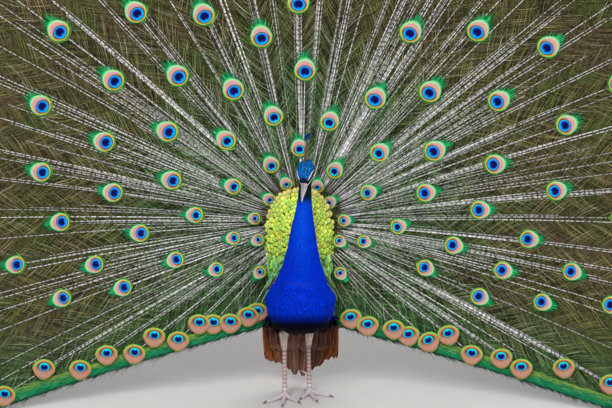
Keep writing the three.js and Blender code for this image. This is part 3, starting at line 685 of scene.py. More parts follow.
# The dense emerald edge along the bottom of the fan, and loose wisps under it.
def makeHem():
    shape = lancet(3, 2, lambda t: 0.5 + 1.0 * t if t < 0.4 else 0.9 - 0.9 * (t - 0.4) if t < 0.99 else 0.0, flat=0.3)
    emerald, deep, gold = np.array([0.004, 0.29, 0.10]), np.array([0.001, 0.13, 0.07]), np.array([0.34, 0.48, 0.05])
    parts, tones = [], []
    for side in (1, -1):
        for count, wide, long, low, high, front in ((4600, 0.0026, 0.048, 0.001, 0.030, 0.006), (60, 0.0009, 0.026, 0.000, 0.006, 0.003)):
            x = rng.uniform(0.085, 0.97, count)
            up = rng.uniform(low, high, count)
            z = np.maximum(hemLine(x), 0.013) + up
            reach = np.hypot(x, z - fan["root"][1])
            angle = np.degrees(np.arctan2(z - fan["root"][1], side * x))
            root = fanPoint(angle, reach)
            face = fanFrame(angle, reach)[2]
            loose = wide < 0.002
            tilt = np.radians(rng.normal(62 if loose else 7, 16 if loose else 4, count)) + math.atan(fan["hemSlope"])
            way = np.c_[side * np.cos(tilt), np.zeros(count), -np.sin(tilt)]
            way = unit(way - face * (way * face).sum(1, keepdims=True))
            fall = np.maximum(-way[:, 2] - fan["hemSlope"] * np.abs(way[:, 0]), 0.02)
            length = long * rng.uniform(0.6, 1.15, count)
            length = np.minimum(length, (root[:, 2] - 0.006) / np.maximum(-way[:, 2], 0.05)) if loose else \
                np.minimum(length, (up + 0.0015) / fall)
            length = np.minimum(length, (root[:, 2] - 0.003) / np.maximum(-way[:, 2], 0.05))
            keep = (length > 0.008) & (reach < fanEdge(angle) + 0.012)
            root = root + face * (front + rng.uniform(0, 0.003, count))[:, None]
            made = stamp(shape, root[keep], way[keep], face[keep], length[keep], wide, bend=-0.04,
                         sweep=rng.normal(0, 0.15, int(keep.sum())))
            tone = blendRows(np.tile(emerald, (count, 1)), gold, ease(up + rng.normal(0, 0.005, count), 0.017, 0.028) * 0.9)
            tone = blendRows(tone, deep, rng.uniform(0, 0.55, count)) if not loose else tone * 0.5
            shade = tone[keep][made["which"]]
            if not loose:
                shade = blendRows(shade, deep * 0.25, ease(np.maximum(hemLine(made["points"][:, 0]), 0.013) - made["points"][:, 2], -0.008, 0.0) * 0.95)
            parts.append(made)
            tones.append(shade)
    made = joinStamps([{k: v for k, v in one.items() if k in ("points", "tris", "t", "s")} for one in parts])
    made["points"][:, 2] = np.maximum(made["points"][:, 2], 0.002)
    mat = newMaterial("hemBarb", (1, 1, 1), rough=0.5, mottle=0.1, grain=260, bump=0, attribute="tint", shine=0.25)
    addPiece("trainHem", made["points"], made["tris"], mat, tint=np.concatenate(tones),
             bake=fanPlaces(made["points"]))
    print("hem barbs triangles", len(made["tris"]))


def makeFan():
    rows = eyeList()
    centre, out, face, half, lift = makeEyes(rows)
    makeSheet()
    field = rows[rows[:, 3] == 0]
    hem = rows[rows[:, 3] == 2]
    rimAngles = np.arange(-26, 207, 5.6)
    rims = np.c_[rimAngles, fanEdge(rimAngles) - 0.09 - 0.02 * (np.arange(len(rimAngles)) % 2)]
    extra = rng.uniform(-38, 218, shafts["extra"])
    extra = np.c_[extra, fanEdge(extra) * rng.uniform(0.45, 0.88, len(extra))]
    angle, reach = np.concatenate([part[:, :2] for part in (field, hem, rims, extra)]).T
    n = len(angle)
    start = 0.085 + rng.uniform(0, 0.03, n)
    height = 0.0025 + 0.006 * (1 - np.clip(reach, 0, 1.1) / 1.1)
    makeShafts(angle, start, reach, height, "trainShafts")
    makeShafts(angle, start, reach - 0.01, np.full(n, 0.0005), "trainShaftsBack", front=-1)
    beside = np.repeat(np.arange(n), 2)
    aside = np.tile([1, -1], n) * shafts["apart"] * rng.uniform(0.85, 1.5, 2 * n)
    shorter = start[beside] + (reach - start)[beside] * rng.uniform(0.35, 0.9, 2 * n)
    keep = (rng.uniform(0, 1, 2 * n) < 0.55) & (reach[beside] > 0.3)
    later = start[beside] + rng.uniform(0.02, 0.16, 2 * n) * np.minimum(1, reach[beside])
    makeShafts(angle[beside][keep], later[keep], np.maximum(shorter, later + 0.05)[keep], height[beside][keep] - 0.001, "trainRidges",
               aside=aside[keep], fine=0.75)
    begin = np.maximum(barbs["start"], start + 0.02)
    makeBarbs(np.c_[angle, begin, np.maximum(reach - 0.03, begin + 0.01), height][:n - shafts["extra"]])
    makeFringes(rows, centre, out, face, half)
    makeHem()


coat = {  # node: depth of the coat, spacing, length, width, lift in degrees, lie
    "head": (0.0002, 0.0021, 0.0050, 0.0027, 18, None),
    "neck_upper": (0.0018, 0.0031, 0.0090, 0.0050, 7, (0, 0.10, -1)),
    "neck_lower": (0.0022, 0.0036, 0.0110, 0.0060, 7, (0, 0.05, -1)),
    "breast": (0.0026, 0.0042, 0.0130, 0.0072, 7, (0, 0.45, -1)),
    "trunk": (0.0050, 0.0080, 0.0260, 0.0130, 9, (0, 1, -0.35)),
    "rump": (0.0090, 0.0062, 0.0340, 0.0050, 22, (0, 0.8, -0.9)),
    "mantle": (0.0050, None, None, None, None, None),
    "wing_left": (0.0030, 0.0120, 0.0360, 0.0230, 6, (0, 0.85, -0.5)),
    "wing_right": (0.0030, 0.0120, 0.0360, 0.0230, 6, (0, 0.85, -0.5)),
    "thigh_left": (0.0006, 0.0044, 0.0150, 0.0052, 7, (0, 0.12, -1)),
    "thigh_right": (0.0006, 0.0044, 0.0150, 0.0052, 7, (0, 0.12, -1)),
}
flank = (0.003, 0.0044, 0.0240, 0.0090, 9, (0, 0.05, -1))  # breast feathers laid over the wing's front, as in coat
skull = {"centre": (0.009, -0.113 + shiftY, 0.600), "pitch": 50, "yaw": -13, "long": 0.064, "wide": 0.044, "high": 0.045}
headPlace = (Matrix.Translation(skull["centre"]) @ Matrix.Rotation(math.radians(skull["yaw"]), 4, "Z")
             @ Matrix.Rotation(math.radians(skull["pitch"]), 4, "X"))


def toHead(points):
    back = np.array(headPlace.inverted())
    return points @ back[:3, :3].T + back[:3, 3]


def fromHead(points):
    place = np.array(headPlace)
    return np.asarray(points) @ place[:3, :3].T + place[:3, 3]


def nodeMesh(bm, name):
    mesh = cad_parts[name].data.copy()
    bm.from_mesh(mesh)
    bpy.data.meshes.remove(mesh)


# One smooth closed mesh over several solids, with no seam between them.
def softCopy(name, nodes, voxel, rounds, material):
    bm = bmesh.new()
    for node in nodes:
        nodeMesh(bm, node)
    bmesh.ops.remove_doubles(bm, verts=bm.verts, dist=1e-6)
    mesh = bpy.data.meshes.new(name)
    bm.to_mesh(mesh)
    bm.free()
    piece = bpy.data.objects.new(name, mesh)
    bpy.context.scene.collection.objects.link(piece)
    shrink = piece.modifiers.new("voxels", "REMESH")
    shrink.mode = "VOXEL"
    shrink.voxel_size = voxel
    smooth = piece.modifiers.new("smooth", "SMOOTH")
    smooth.iterations = 0
    smooth.factor = 0.5
    raw = bpy.data.meshes.new_from_object(piece.evaluated_get(bpy.context.evaluated_depsgraph_get()))
    smooth.iterations = rounds
    ready = bpy.data.meshes.new_from_object(piece.evaluated_get(bpy.context.evaluated_depsgraph_get()))
    piece.modifiers.clear()
    piece.data = ready
    before, after, normals = pointsOf(raw), pointsOf(ready), pointsOf(ready, "normal")
    lost = np.clip(((before - after) * normals).sum(1), -0.0015, 0.0015)
    lost = evened(ready, lost, 8)
    ready.vertices.foreach_set("co", (after + normals * lost[:, None]).astype(np.float32).ravel())
    ready.update()
    bpy.data.meshes.remove(raw)
    bpy.data.meshes.remove(mesh)
    ready.name = name
    ready.materials.clear()
    ready.materials.append(material)
    ready.shade_smooth()
    return finishPiece(piece, nodes)


# Values on a mesh's points, averaged with their neighbours'.
def evened(mesh, values, rounds):
    edges = np.empty(len(mesh.edges) * 2, np.int32)
    mesh.edges.foreach_get("vertices", edges)
    a, b = edges.reshape(-1, 2).T
    ends = np.maximum(np.bincount(np.r_[a, b], minlength=len(values)), 1)
    for _ in range(rounds):
        values = 0.5 * values + 0.5 * np.bincount(np.r_[a, b], np.r_[values[b], values[a]], len(values)) / ends
    return values


def pointsOf(mesh, what="co"):
    flat = np.empty(len(mesh.vertices) * 3, np.float32)
    if what == "co":
        mesh.vertices.foreach_get("co", flat)
    else:
        mesh.vertex_normals.foreach_get("vector", flat)
    return flat.reshape(-1, 3).astype(float)


# Index into names of the solid nearest to each point.
def nearestNode(points, names):
    trees = []
    for name in names:
        bm = bmesh.new()
        nodeMesh(bm, name)
        trees.append(BVHTree.FromBMesh(bm))
        bm.free()
    best = np.full(len(points), 9.0)
    which = np.zeros(len(points), int)
    for k, tree in enumerate(trees):
        low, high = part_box(names[k])
        near = np.all((points > np.array(low) - 0.03) & (points < np.array(high) + 0.03), axis=1)
        for i in np.nonzero(near)[0]:
            far = tree.find_nearest(points[i], 0.03)[3]
            if far is not None and far < best[i]:
                best[i], which[i] = far, k
    return which


# Cobalt with a painted sheen, a paler azure strip down the middle; painted shade darkens it to navy, then near black,
# towards the lower edge, which lies on a slanting plane.
def shadedBreastBlue(points):
    x, y, z = points.T
    y = y - shiftY
    n = len(points)
    cobalt, azure, shadeNavy = np.array([0.0, 0.031, 0.64]), np.array([0.0, 0.080, 0.76]), np.array([0.0, 0.008, 0.19])
    # painted sheen: a paler azure strip down the middle of the front
    middle = np.exp(-(x / 0.022) ** 2)
    blue = blendRows(np.tile(cobalt, (n, 1)), azure, middle * ease(z, 0.30, 0.5) * 0.8)
    # painted shade: navy, then near black, towards the lower edge of the breast
    slant = z + 0.194 * y
    blue = blendRows(blue, shadeNavy, ease(-slant, -0.231, -0.209) * 0.9)
    return blendRows(blue, np.array([0.0, 0.001, 0.006]), ease(-slant, -0.213, -0.196))


# The colour of the plumage at a place on the body, with painted shadow on the throat and the lower side of the head,
# and painted shade towards the back of the neck.
def markings(points, names, which):
    x, y, z = points.T
    n = len(points)
    tint = np.zeros((n, 3))
    y = y - shiftY
    blue = shadedBreastBlue(points)
    shadeNavy, shadowTeal = np.array([0.0, 0.008, 0.19]), np.array([0.0, 0.016, 0.030])
    local = toHead(points)
    # painted shadow: the throat under the head darkens to a dark teal
    throatShadow = ease(z, 0.520, 0.545) * ease(-local[:, 2], -0.004, 0.010)
    blue = blendRows(blue, shadowTeal, throatShadow)
    # painted shade: the blue darkens towards navy at the back of the neck
    blue = blendRows(blue, shadeNavy, ease(y, -0.09, -0.02) * 0.5 * ease(z, 0.30, 0.40))
    # painted shadow on the lower side of the head skin, as on the throat
    crownTint = blendRows(np.tile(np.array([0.0, 0.10, 0.45]), (n, 1)), shadowTeal, ease(-local[:, 2], -0.002, 0.008))
    crownTint = blendRows(crownTint, np.array([0.0, 0.003, 0.012]), ease(-local[:, 1], 0.019, 0.026) * 0.9)
    plain = {
        "trunk": (0.035, 0.030, 0.026), "rump": (0.16, 0.14, 0.12), "mantle": (0.10, 0.12, 0.02),
        "wing_left": (0.30, 0.22, 0.14), "wing_right": (0.30, 0.22, 0.14),
        "thigh_left": (0.66, 0.53, 0.45), "thigh_right": (0.66, 0.53, 0.45),
    }
    breastEdge = (y < 0.015) & (z < 0.285) & (np.abs(x) > 0.03)
    for k, name in enumerate(names):
        here = which == k
        if name == "head":
            tint[here] = crownTint[here]
        elif name in ("trunk", "wing_left", "wing_right"):
            tint[here] = np.where(breastEdge[here][:, None], blue[here], plain[name])
        elif name in plain:
            tint[here] = plain[name]
        else:
            tint[here] = blue[here]
    return tint


# The skin unwrapped by the way its parts run: round them and along them.
def skinPlaces(points, names, which):
    places = np.zeros((len(points), 2))
    for k, name in enumerate(names):
        here = which == k
        low, high = (np.array(c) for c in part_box(name))
        middle = (low + high) / 2
        size = high - low
        rel = (points[here] - middle) / size
        if name in ("trunk", "rump", "breast"):
            turn, run = np.arctan2(rel[:, 0], rel[:, 2]), rel[:, 1]
        else:
            turn, run = np.arctan2(rel[:, 0], rel[:, 1]), rel[:, 2]
        cell = np.array([k % 4, k // 4])
        places[here] = (cell + 0.06 + 0.88 * np.c_[turn / (2 * math.pi) + 0.5, np.clip(run + 0.5, 0, 1)]) / 4
    return places


# Indices of points no nearer to each other than the spacing.
def thinned(points, spacing):
    cells, kept = {}, []
    keys = np.floor(points / spacing).astype(int)
    around = [(i, j, k) for i in (-1, 0, 1) for j in (-1, 0, 1) for k in (-1, 0, 1)]
    limit = spacing * spacing
    for index, (key, p) in enumerate(zip(map(tuple, keys), points.tolist())):
        free = True
        for i, j, k in around:
            for q in cells.get((key[0] + i, key[1] + j, key[2] + k), ()):
                if (p[0] - q[0]) ** 2 + (p[1] - q[1]) ** 2 + (p[2] - q[2]) ** 2 < limit:
                    free = False
                    break
            if not free:
                break
        if free:
            cells.setdefault(key, []).append(p)
            kept.append(index)
    return np.array(kept, int)


# Evenly spread roots on the faces that wanted(points) allows: places, normals and face indices.
def scatter(skin, wanted, spacing):
    mesh = skin["mesh"]
    tri = skin["tris"]
    corners = skin["points"][tri]
    middle = corners.mean(1)
    area = np.linalg.norm(np.cross(corners[:, 1] - corners[:, 0], corners[:, 2] - corners[:, 0]), axis=1) / 2
    area = area * wanted(middle, skin["triNode"])
    count = int(area.sum() / spacing ** 2 * 5)
    chosen = rng.choice(len(tri), count, p=area / area.sum())
    share = rng.dirichlet((1, 1, 1), count)
    spots = (corners[chosen] * share[..., None]).sum(1)
    kept = thinned(spots, spacing * 0.86)
    normals = unit((skin["normals"][tri[chosen[kept]]] * share[kept][..., None]).sum(1))
    return spots[kept], normals, skin["triNode"][chosen[kept]]


# The lie of the coat laid into the surface, with a little wander.
def lieAlong(normals, lie, spread=0.09):
    lie = np.broadcast_to(np.asarray(lie, float), normals.shape)
    flat = unit(lie - normals * (lie * normals).sum(1, keepdims=True))
    return unit(flat + np.cross(normals, flat) * rng.normal(0, spread, (len(normals), 1)))


def makeSkin():
    names = list(coat)
    skinPaint = newMaterial("skinPaint", (1, 1, 1), rough=0.7, mottle=0.25, grain=420, attribute="tint", shine=0.1)
    skin = softCopy("skin", names, 0.0026, 6, skinPaint)
    mesh = skin.data
    points, normals = pointsOf(mesh), pointsOf(mesh, "normal")
    which = nearestNode(points, names)
    depth = np.array([coat[name][0] for name in names])[which]
    points = points - normals * depth[:, None]
    mesh.vertices.foreach_set("co", points.astype(np.float32).ravel())
    normals = unit(np.stack([evened(mesh, normals[:, k].copy(), 14) for k in range(3)], 1))
    layer = mesh.color_attributes.new("tint", "FLOAT_COLOR", "POINT")
    tint = markings(points, names, which) * 0.6
    layer.data.foreach_set("color", np.c_[tint, np.ones(len(tint))].astype(np.float32).ravel())
    mesh.update()
    mesh.calc_loop_triangles()
    tris = np.empty(len(mesh.loop_triangles) * 3, np.int32)
    mesh.loop_triangles.foreach_get("vertices", tris)
    tris = tris.reshape(-1, 3)
    print("skin", len(tris), "triangles")
    return {"mesh": mesh, "points": points, "normals": normals, "tris": tris, "names": names,
            "triNode": which[tris[:, 0]], "which": which}


def leaf(t):
    return 0.45 + 0.9 * t if t < 0.55 else 0.945 * math.sqrt(max(0.0, 1 - ((t - 0.55) / 0.45) ** 2))


# Small overlapping vanes on neck, breast, belly and thighs, down on the rump.
def makeCoat(skin):
    names = skin["names"]
    vane = lancet(3, 3, leaf, flat=0.16)
    plume = lancet(3, 2, lambda t: 0.5 + 0.8 * t if t < 0.4 else 0.82 - 0.9 * (t - 0.4) if t < 0.99 else 0, flat=0.4)
    groups = {
        "neckCoat": (("neck_upper", "neck_lower"), vane, "blue_plumage", (0.6, 0.0, 0.0)),
        "breastCoat": (("breast",), vane, "blue_plumage", (0.6, 0.0, 0.0)),
        "bellyCoat": (("trunk",), vane, "drab_plumage", (0.7, 0.0, 0.1)),
        "flankCoat": (("trunk", "wing_left", "wing_right"), vane, "blue_plumage", (0.6, 0.0, 0.0)),
        "rumpDown": (("rump",), plume, "drab_plumage", (0.9, 0.0, 0.3)),
        "thighCoat": (("thigh_left", "thigh_right"), plume, "thigh_plumage", (0.8, 0.0, 0.3)),
    }
    for title, (parts, shape, slotName, (rough, metal, sheen)) in groups.items():
        stamps, tints, bakes = [], [], []
        for part in parts:
            index = names.index(part)
            depth, spacing, long, wide, lift, lie = coat[part] if title != "flankCoat" else flank

            def wanted(middle, node):
                y, z = middle[:, 1] - shiftY, middle[:, 2]
                front = (y < 0.015) & (z < 0.280) & (np.abs(middle[:, 0]) > 0.03)
                return (node == index) & (front | (title != "flankCoat"))

            root, normal, node = scatter(skin, wanted, spacing)
            along = lieAlong(normal, lie)
            rise = math.radians(lift)
            along = along * math.cos(rise) + normal * math.sin(rise)
            n = len(root)
            size = rng.uniform(0.85, 1.12, n)
            if part == "neck_upper":
                size *= 1 - 0.35 * ease(root[:, 2], 0.50, 0.58)
            if title == "flankCoat":
                size *= 1 + 0.7 * ease(-root[:, 2], -0.245, -0.215)
            if part.startswith("thigh"):
                size *= 1 - 0.55 * ease(-root[:, 2], -0.140, -0.112)
            made = stamp(shape, root - normal * 0.0004, along, unit(np.cross(np.cross(along, normal), along)),
                         long * size, wide * size, bend=-0.05)
            tone = markings(root, names, node)[made["which"]]
            # the breast and flank vanes take the breast blue with its painted sheen and painted shade
            if title in ("breastCoat", "flankCoat"):
                tone = shadedBreastBlue(made["points"])
            tone = tone * np.exp(rng.normal(0, 0.07 if shape is vane else 0.16, n))[made["which"], None]
            tints.append(tone * (0.84 + 0.22 * made["t"])[:, None])
            bakes.append(patches(made, skinPlaces(root, names, node)))
            stamps.append(made)
        made = joinStamps([{k: v for k, v in one.items() if k in ("points", "tris")} for one in stamps])
        mat = newMaterial(title + "Vane", (1, 1, 1), rough=rough, metal=metal, sheen=sheen, mottle=0.10, grain=700,
                          attribute="tint", shine=0.03)
        addPiece(title, made["points"], made["tris"], mat, tint=np.concatenate(tints), bake=np.concatenate(bakes))
        print(title, len(made["tris"]), "triangles")


mantle = {"centre": (-0.006, 0.028 + shiftY, 0.409), "radii": (0.078, 0.034, 0.116), "roundness": 2.4, "step": 0.0076,
          "long": 0.0175, "wide": 0.0138}


def scaleOutline(turn):
    return 0.5 + 0.5 * math.cos(turn), 0.94 * math.sin(turn) * (1 + 0.12 * math.cos(turn))


def mapCoords(tree, layer="eye"):
    uv = addNode(tree, "ShaderNodeUVMap", uv_map=layer).outputs["UV"]
    apart = addNode(tree, "ShaderNodeSeparateXYZ", {"Vector": uv})
    return apart.outputs["X"], apart.outputs["Y"]


def grey(tree, value):
    return addNode(tree, "ShaderNodeCombineXYZ", {"X": value, "Y": value, "Z": value}).outputs[0]


# A golden green scale: dark edge, bright middle, from the scale's own map.
def scaleMaterial():
    mat = bpy.data.materials.new("mantleScale")
    mat.use_nodes = True
    tree = mat.node_tree
    bsdf = tree.nodes["Principled BSDF"]
    t, s = mapCoords(tree)
    da = mathNode(tree, "MULTIPLY", mathNode(tree, "SUBTRACT", t, 0.5), 2.0)
    rho = mathNode(tree, "SQRT", mathNode(tree, "ADD", mathNode(tree, "MULTIPLY", da, da), mathNode(tree, "MULTIPLY", s, s)))
    edge = ramp(tree, rho, [(0.0, (0.72, 0.86, 1.0)), (0.42, (0.95, 0.95, 0.8)), (0.70, (1.08, 1.04, 0.66)),
                            (0.79, (0.62, 0.64, 0.34)), (0.87, (0.18, 0.22, 0.09)), (1.0, (0.07, 0.10, 0.04))])
    tint = addNode(tree, "ShaderNodeAttribute", attribute_name="tint").outputs["Color"]
    line = mathNode(tree, "SINE", mathNode(tree, "MULTIPLY", mathNode(tree, "SUBTRACT", t, mathNode(tree, "ABSOLUTE", s)), 60.0))
    tone = mathNode(tree, "MULTIPLY_ADD", line, 0.08, 0.95)
    base = mixColor(tree, 1.0, mixColor(tree, 1.0, tint, edge, "MULTIPLY"), grey(tree, tone), "MULTIPLY")
    tree.links.new(base, bsdf.inputs["Base Color"])
    bsdf.inputs["Roughness"].default_value = 0.5
    bsdf.inputs["Specular IOR Level"].default_value = 0.25
    return mat


# Scale feathers on the front and rim of the raised back, tips outwards, from the rim inwards.
def makeMantle(skin):
    centre, radii = np.array(mantle["centre"]), np.array(mantle["radii"])
    parts = []
    rings = np.arange(1.04, 0.10, -mantle["step"] / 0.097)
    power = mantle["roundness"]
    for k, ring in enumerate(rings):
        around = 2 * math.pi * ring * math.sqrt((radii[0] ** 2 + radii[2] ** 2) / 2)
        count = max(4, int(around / (mantle["wide"] * 0.80)))
        turn = (np.arange(count) + 0.5 * (k % 2)) / count * 2 * math.pi + rng.normal(0, 0.018, count)
        c, s = np.cos(turn), np.sin(turn)
        fuller = (np.abs(c) ** power + np.abs(s) ** power) ** (-1 / power)
        x, z = c * fuller * ring, s * fuller * ring
        front = np.full(count, -math.sqrt(max(0.0, 1 - min(ring, 1.0) ** 2)) - 0.12)
        parts.append(np.c_[x, front, z, np.full(count, ring)])
    x, front, z, ring = np.concatenate(parts).T
    n = len(x)
    root = centre + np.c_[x, front, z] * radii
    normal = unit(np.c_[x / radii[0], front / radii[1], z / radii[2]] * 0.35 + (0, -12.0, 0))
    out = unit(np.c_[x * radii[0], np.zeros(n), z * radii[2] + 0.012])
    lie = unit(out - normal * (out * normal).sum(1, keepdims=True))
    rise = math.radians(9)
    along = lie * math.cos(rise) + normal * math.sin(rise)
    shape = lens(14, 5, scaleOutline, dome=0.035, thick=0.03)
    size = rng.uniform(0.92, 1.14, n) * (0.90 + 0.18 * ease(ring, 0.6, 1.1))
    low = ease(-root[:, 2], -0.385, -0.33)
    above = unit(np.cross(np.cross(along, normal), along))
    made = stamp(shape, root - lie * 0.010, along, above, mantle["long"] * size * (1 + 0.5 * low),
                 mantle["wide"] * size * (1 - 0.35 * low), thick=0.010, bend=-0.10)
    gold, green = np.array([0.76, 0.84, 0.12]), np.array([0.42, 0.78, 0.16])
    pink, sea = np.array([0.76, 0.50, 0.30]), np.array([0.16, 0.60, 0.36])
    tone = blendRows(np.tile(gold, (n, 1)), green, rng.uniform(0, 0.9, n))
    tone = blendRows(tone, sea, low * rng.uniform(0.35, 1, n))
    tone = blendRows(tone, pink, ease(ring + rng.normal(0, 0.04, n), 0.90, 1.05) * ease(root[:, 2], 0.40, 0.46) * 0.6)
    tone *= np.exp(rng.normal(0, 0.16, n))[:, None]
    local = np.c_[made["t"], np.tile(shape[0][:, 1], n)]
    bake = fanPlaces(root)[made["which"]] + 0.006 * np.c_[made["s"], made["t"] - 0.5]
    addPiece("mantleScales", made["points"], made["tris"], scaleMaterial(),
             tint=tone[made["which"]], bake=bake, eye=local)
    print("mantle scales", n)
    rows = []
    for k, z in enumerate(np.arange(0.298, 0.376, 0.0075)):
        half = 0.073 + 0.006 * ease(z, 0.31, 0.36)
        x = np.arange(-half, half + 0.001, 0.0052) + 0.0026 * (k % 2) + rng.normal(0, 0.0006, 1)
        keep = (np.abs(x) > 0.022) & (rng.uniform(0, 1, len(x)) < 1.6 - (z - 0.298) * 16)
        rows.append(np.c_[x, z + rng.normal(0, 0.003, len(x))][keep])
    x, z = np.concatenate(rows).T
    n = len(x)
    inside = np.clip(1 - (np.abs(x) / radii[0]) ** power - (np.abs(z - centre[2]) / radii[2]) ** power, 0, 1)
    depth = centre[1] - radii[1] * inside ** (1 / power) - 0.006 - 0.30 * (0.372 - z)
    root = np.c_[x + centre[0], depth, z]
    along = unit(np.c_[x * 0.4 + rng.normal(0, 0.05, n), -0.30 + 0.02 * rng.normal(0, 1, n), np.full(n, -1.0)])
    normal = unit(np.cross(np.cross(along, (0, -1.0, 0)), along))
    streak = lens(10, 5, scaleOutline, dome=0.05, thick=0.03)
    made = stamp(streak, root, along, normal, (0.030 + 0.008 * ease(-z, -0.34, -0.31)) * rng.uniform(0.85, 1.15, n), 0.0085,
                 thick=0.010, bend=-0.06)
    tone = blendRows(np.tile(sea, (n, 1)), green, np.clip(0.25 + (z - 0.33) * 12 + rng.normal(0, 0.3, n), 0, 1))
    tone = 0.85 * tone * np.exp(rng.normal(0, 0.25, n))[:, None]
    addPiece("mantleStreaks", made["points"], made["tris"], scaleMaterial(), tint=tone[made["which"]],
             bake=fanPlaces(root)[made["which"]] + 0.006 * np.c_[made["s"], made["t"] - 0.5],
             eye=np.c_[made["t"], np.tile(streak[0][:, 1], n)])
    names = skin["names"]
    sides = [names.index(part) for part in ("trunk", "wing_left", "wing_right")]

    def wanted(middle, node):
        y = middle[:, 1] - shiftY
        return np.isin(node, sides) & (middle[:, 2] > 0.272) & (y > -0.066) & (y < 0.045)

    root, normal, node = scatter(skin, wanted, 0.0062)
    along = lieAlong(normal, (0, 0.05, -1), 0.12)
    rise = math.radians(9)
    along = along * math.cos(rise) + normal * math.sin(rise)
    n = len(root)
    made = stamp(streak, root, along, unit(np.cross(np.cross(along, normal), along)), 0.027 * rng.uniform(0.8, 1.2, n), 0.0075,
                 thick=0.012, bend=-0.08)
    tone = blendRows(np.tile(sea, (n, 1)), green, rng.uniform(0, 1, n)) * np.exp(rng.normal(0, 0.22, n))[:, None]
    addPiece("shoulderStreaks", made["points"], made["tris"], scaleMaterial(), tint=tone[made["which"]],
             bake=patches(made, skinPlaces(root, names, node)), eye=np.c_[made["t"], np.tile(streak[0][:, 1], n)])
    print("shoulder streaks", n)


# Rows of numbers blended smoothly through the stations.
def spline(stations, samples):
    st = np.asarray(stations, float)
    st = np.vstack([2 * st[0] - st[1], st, 2 * st[-1] - st[-2]])
    u = np.linspace(0, len(st) - 3, samples)
    k = np.minimum(u.astype(int), len(st) - 4)
    f = (u - k)[:, None]
    a, b, c, d = (st[k + i] for i in range(4))
    return 0.5 * (2 * b + (c - a) * f + (2 * a - 5 * b + 4 * c - d) * f ** 2 + (3 * b - a - 3 * c + d) * f ** 3)


# A closed loft through rows of x, y, z, half width and half height.
def tube(stations, rings, sides, hint=(0, 0, 1), swell=None):
    rows = spline(stations, rings + 1)
    centre, run = rows[:, :3], unit(np.gradient(rows[:, :3], axis=0))
    across = unit(np.cross(run, np.asarray(hint, float)))
    up = np.cross(across, run)
    turn = np.arange(sides) / sides * 2 * math.pi
    size = np.ones((rings + 1, sides)) if swell is None else swell(np.linspace(0, 1, rings + 1)[:, None], turn[None])
    points = (centre[:, None] + (size * rows[:, 3:4] * np.cos(turn))[..., None] * across[:, None]
              + (size * rows[:, 4:5] * np.sin(turn))[..., None] * up[:, None]).reshape(-1, 3)
    i, j = np.meshgrid(np.arange(rings), np.arange(sides), indexing="ij")
    a, b = (i * sides + j).ravel(), (i * sides + (j + 1) % sides).ravel()
    tris = np.concatenate([np.c_[a, b, b + sides], np.c_[a, b + sides, a + sides]])
    last = len(points)
    j = np.arange(sides)
    caps = np.concatenate([np.c_[np.full(sides, last), (j + 1) % sides, j],
                           np.c_[np.full(sides, last + 1), rings * sides + j, rings * sides + (j + 1) % sides]])
    points = np.vstack([points, centre[0], centre[-1]])
    t = np.r_[np.repeat(np.linspace(0, 1, rings + 1), sides), 0, 1]
    around = np.r_[np.tile(turn, rings + 1), 0, 0]
    tris = np.concatenate([tris, caps])
    volume = np.einsum("ij,ij->i", points[tris[:, 0]], np.cross(points[tris[:, 1]], points[tris[:, 2]])).sum()
    return {"points": points, "tris": tris if volume > 0 else tris[:, ::-1], "t": t, "s": around,
            "which": np.zeros(len(points), int)}


# A closed thin vane: t along, s across, with a ridge for the shaft.
def vaneShape(cuts, across, outline, camber=0.2, thick=0.02, ridge=0.03):
    t = np.linspace(0, 1, cuts + 1)
    s = np.linspace(-1, 1, across + 1)
    wide = np.array([outline(v) for v in t])
    grid = np.stack([np.repeat(t, across + 1), (wide[:, None] * s[None]).ravel(), np.tile(s, cuts + 1)], 1)
    height = camber * (1 - grid[:, 2] ** 2) * np.repeat(wide, across + 1)
    crest = ridge * (np.abs(grid[:, 2]) < 0.5 / across) * (1 - 0.7 * grid[:, 0])
    top = np.c_[grid[:, :2], height + thick + crest]
    low = np.c_[grid[:, :2], height - thick - crest * 0.5]
    n = len(grid)
    i, j = np.meshgrid(np.arange(cuts), np.arange(across), indexing="ij")
    a = (i * (across + 1) + j).ravel()
    b, c, d = a + 1, a + across + 2, a + across + 1
    face = np.concatenate([np.c_[a, d, c], np.c_[a, c, b]])
    rim = np.concatenate([np.arange(across), np.arange(cuts) * (across + 1) + across,
                          np.arange(across, 0, -1) + cuts * (across + 1), np.arange(cuts, 0, -1) * (across + 1)])
    nxt = np.roll(rim, -1)
    walls = np.concatenate([np.c_[rim, nxt, nxt + n], np.c_[rim, nxt + n, rim + n]])
    points, tris = np.concatenate([top, low]), np.concatenate([face, face[:, ::-1] + n, walls])
    volume = np.einsum("ij,ij->i", points[tris[:, 0]], np.cross(points[tris[:, 1]], points[tris[:, 2]])).sum()
    return points, tris if volume > 0 else tris[:, ::-1]


# Half width of a flight feather along its length, with a round tip.
def quill(t):
    return 0.10 + 0.90 * float(ease(t, 0.0, 0.22)) if t < 0.86 else math.sqrt(max(0.0004, 1 - ((t - 0.86) / 0.145) ** 2))


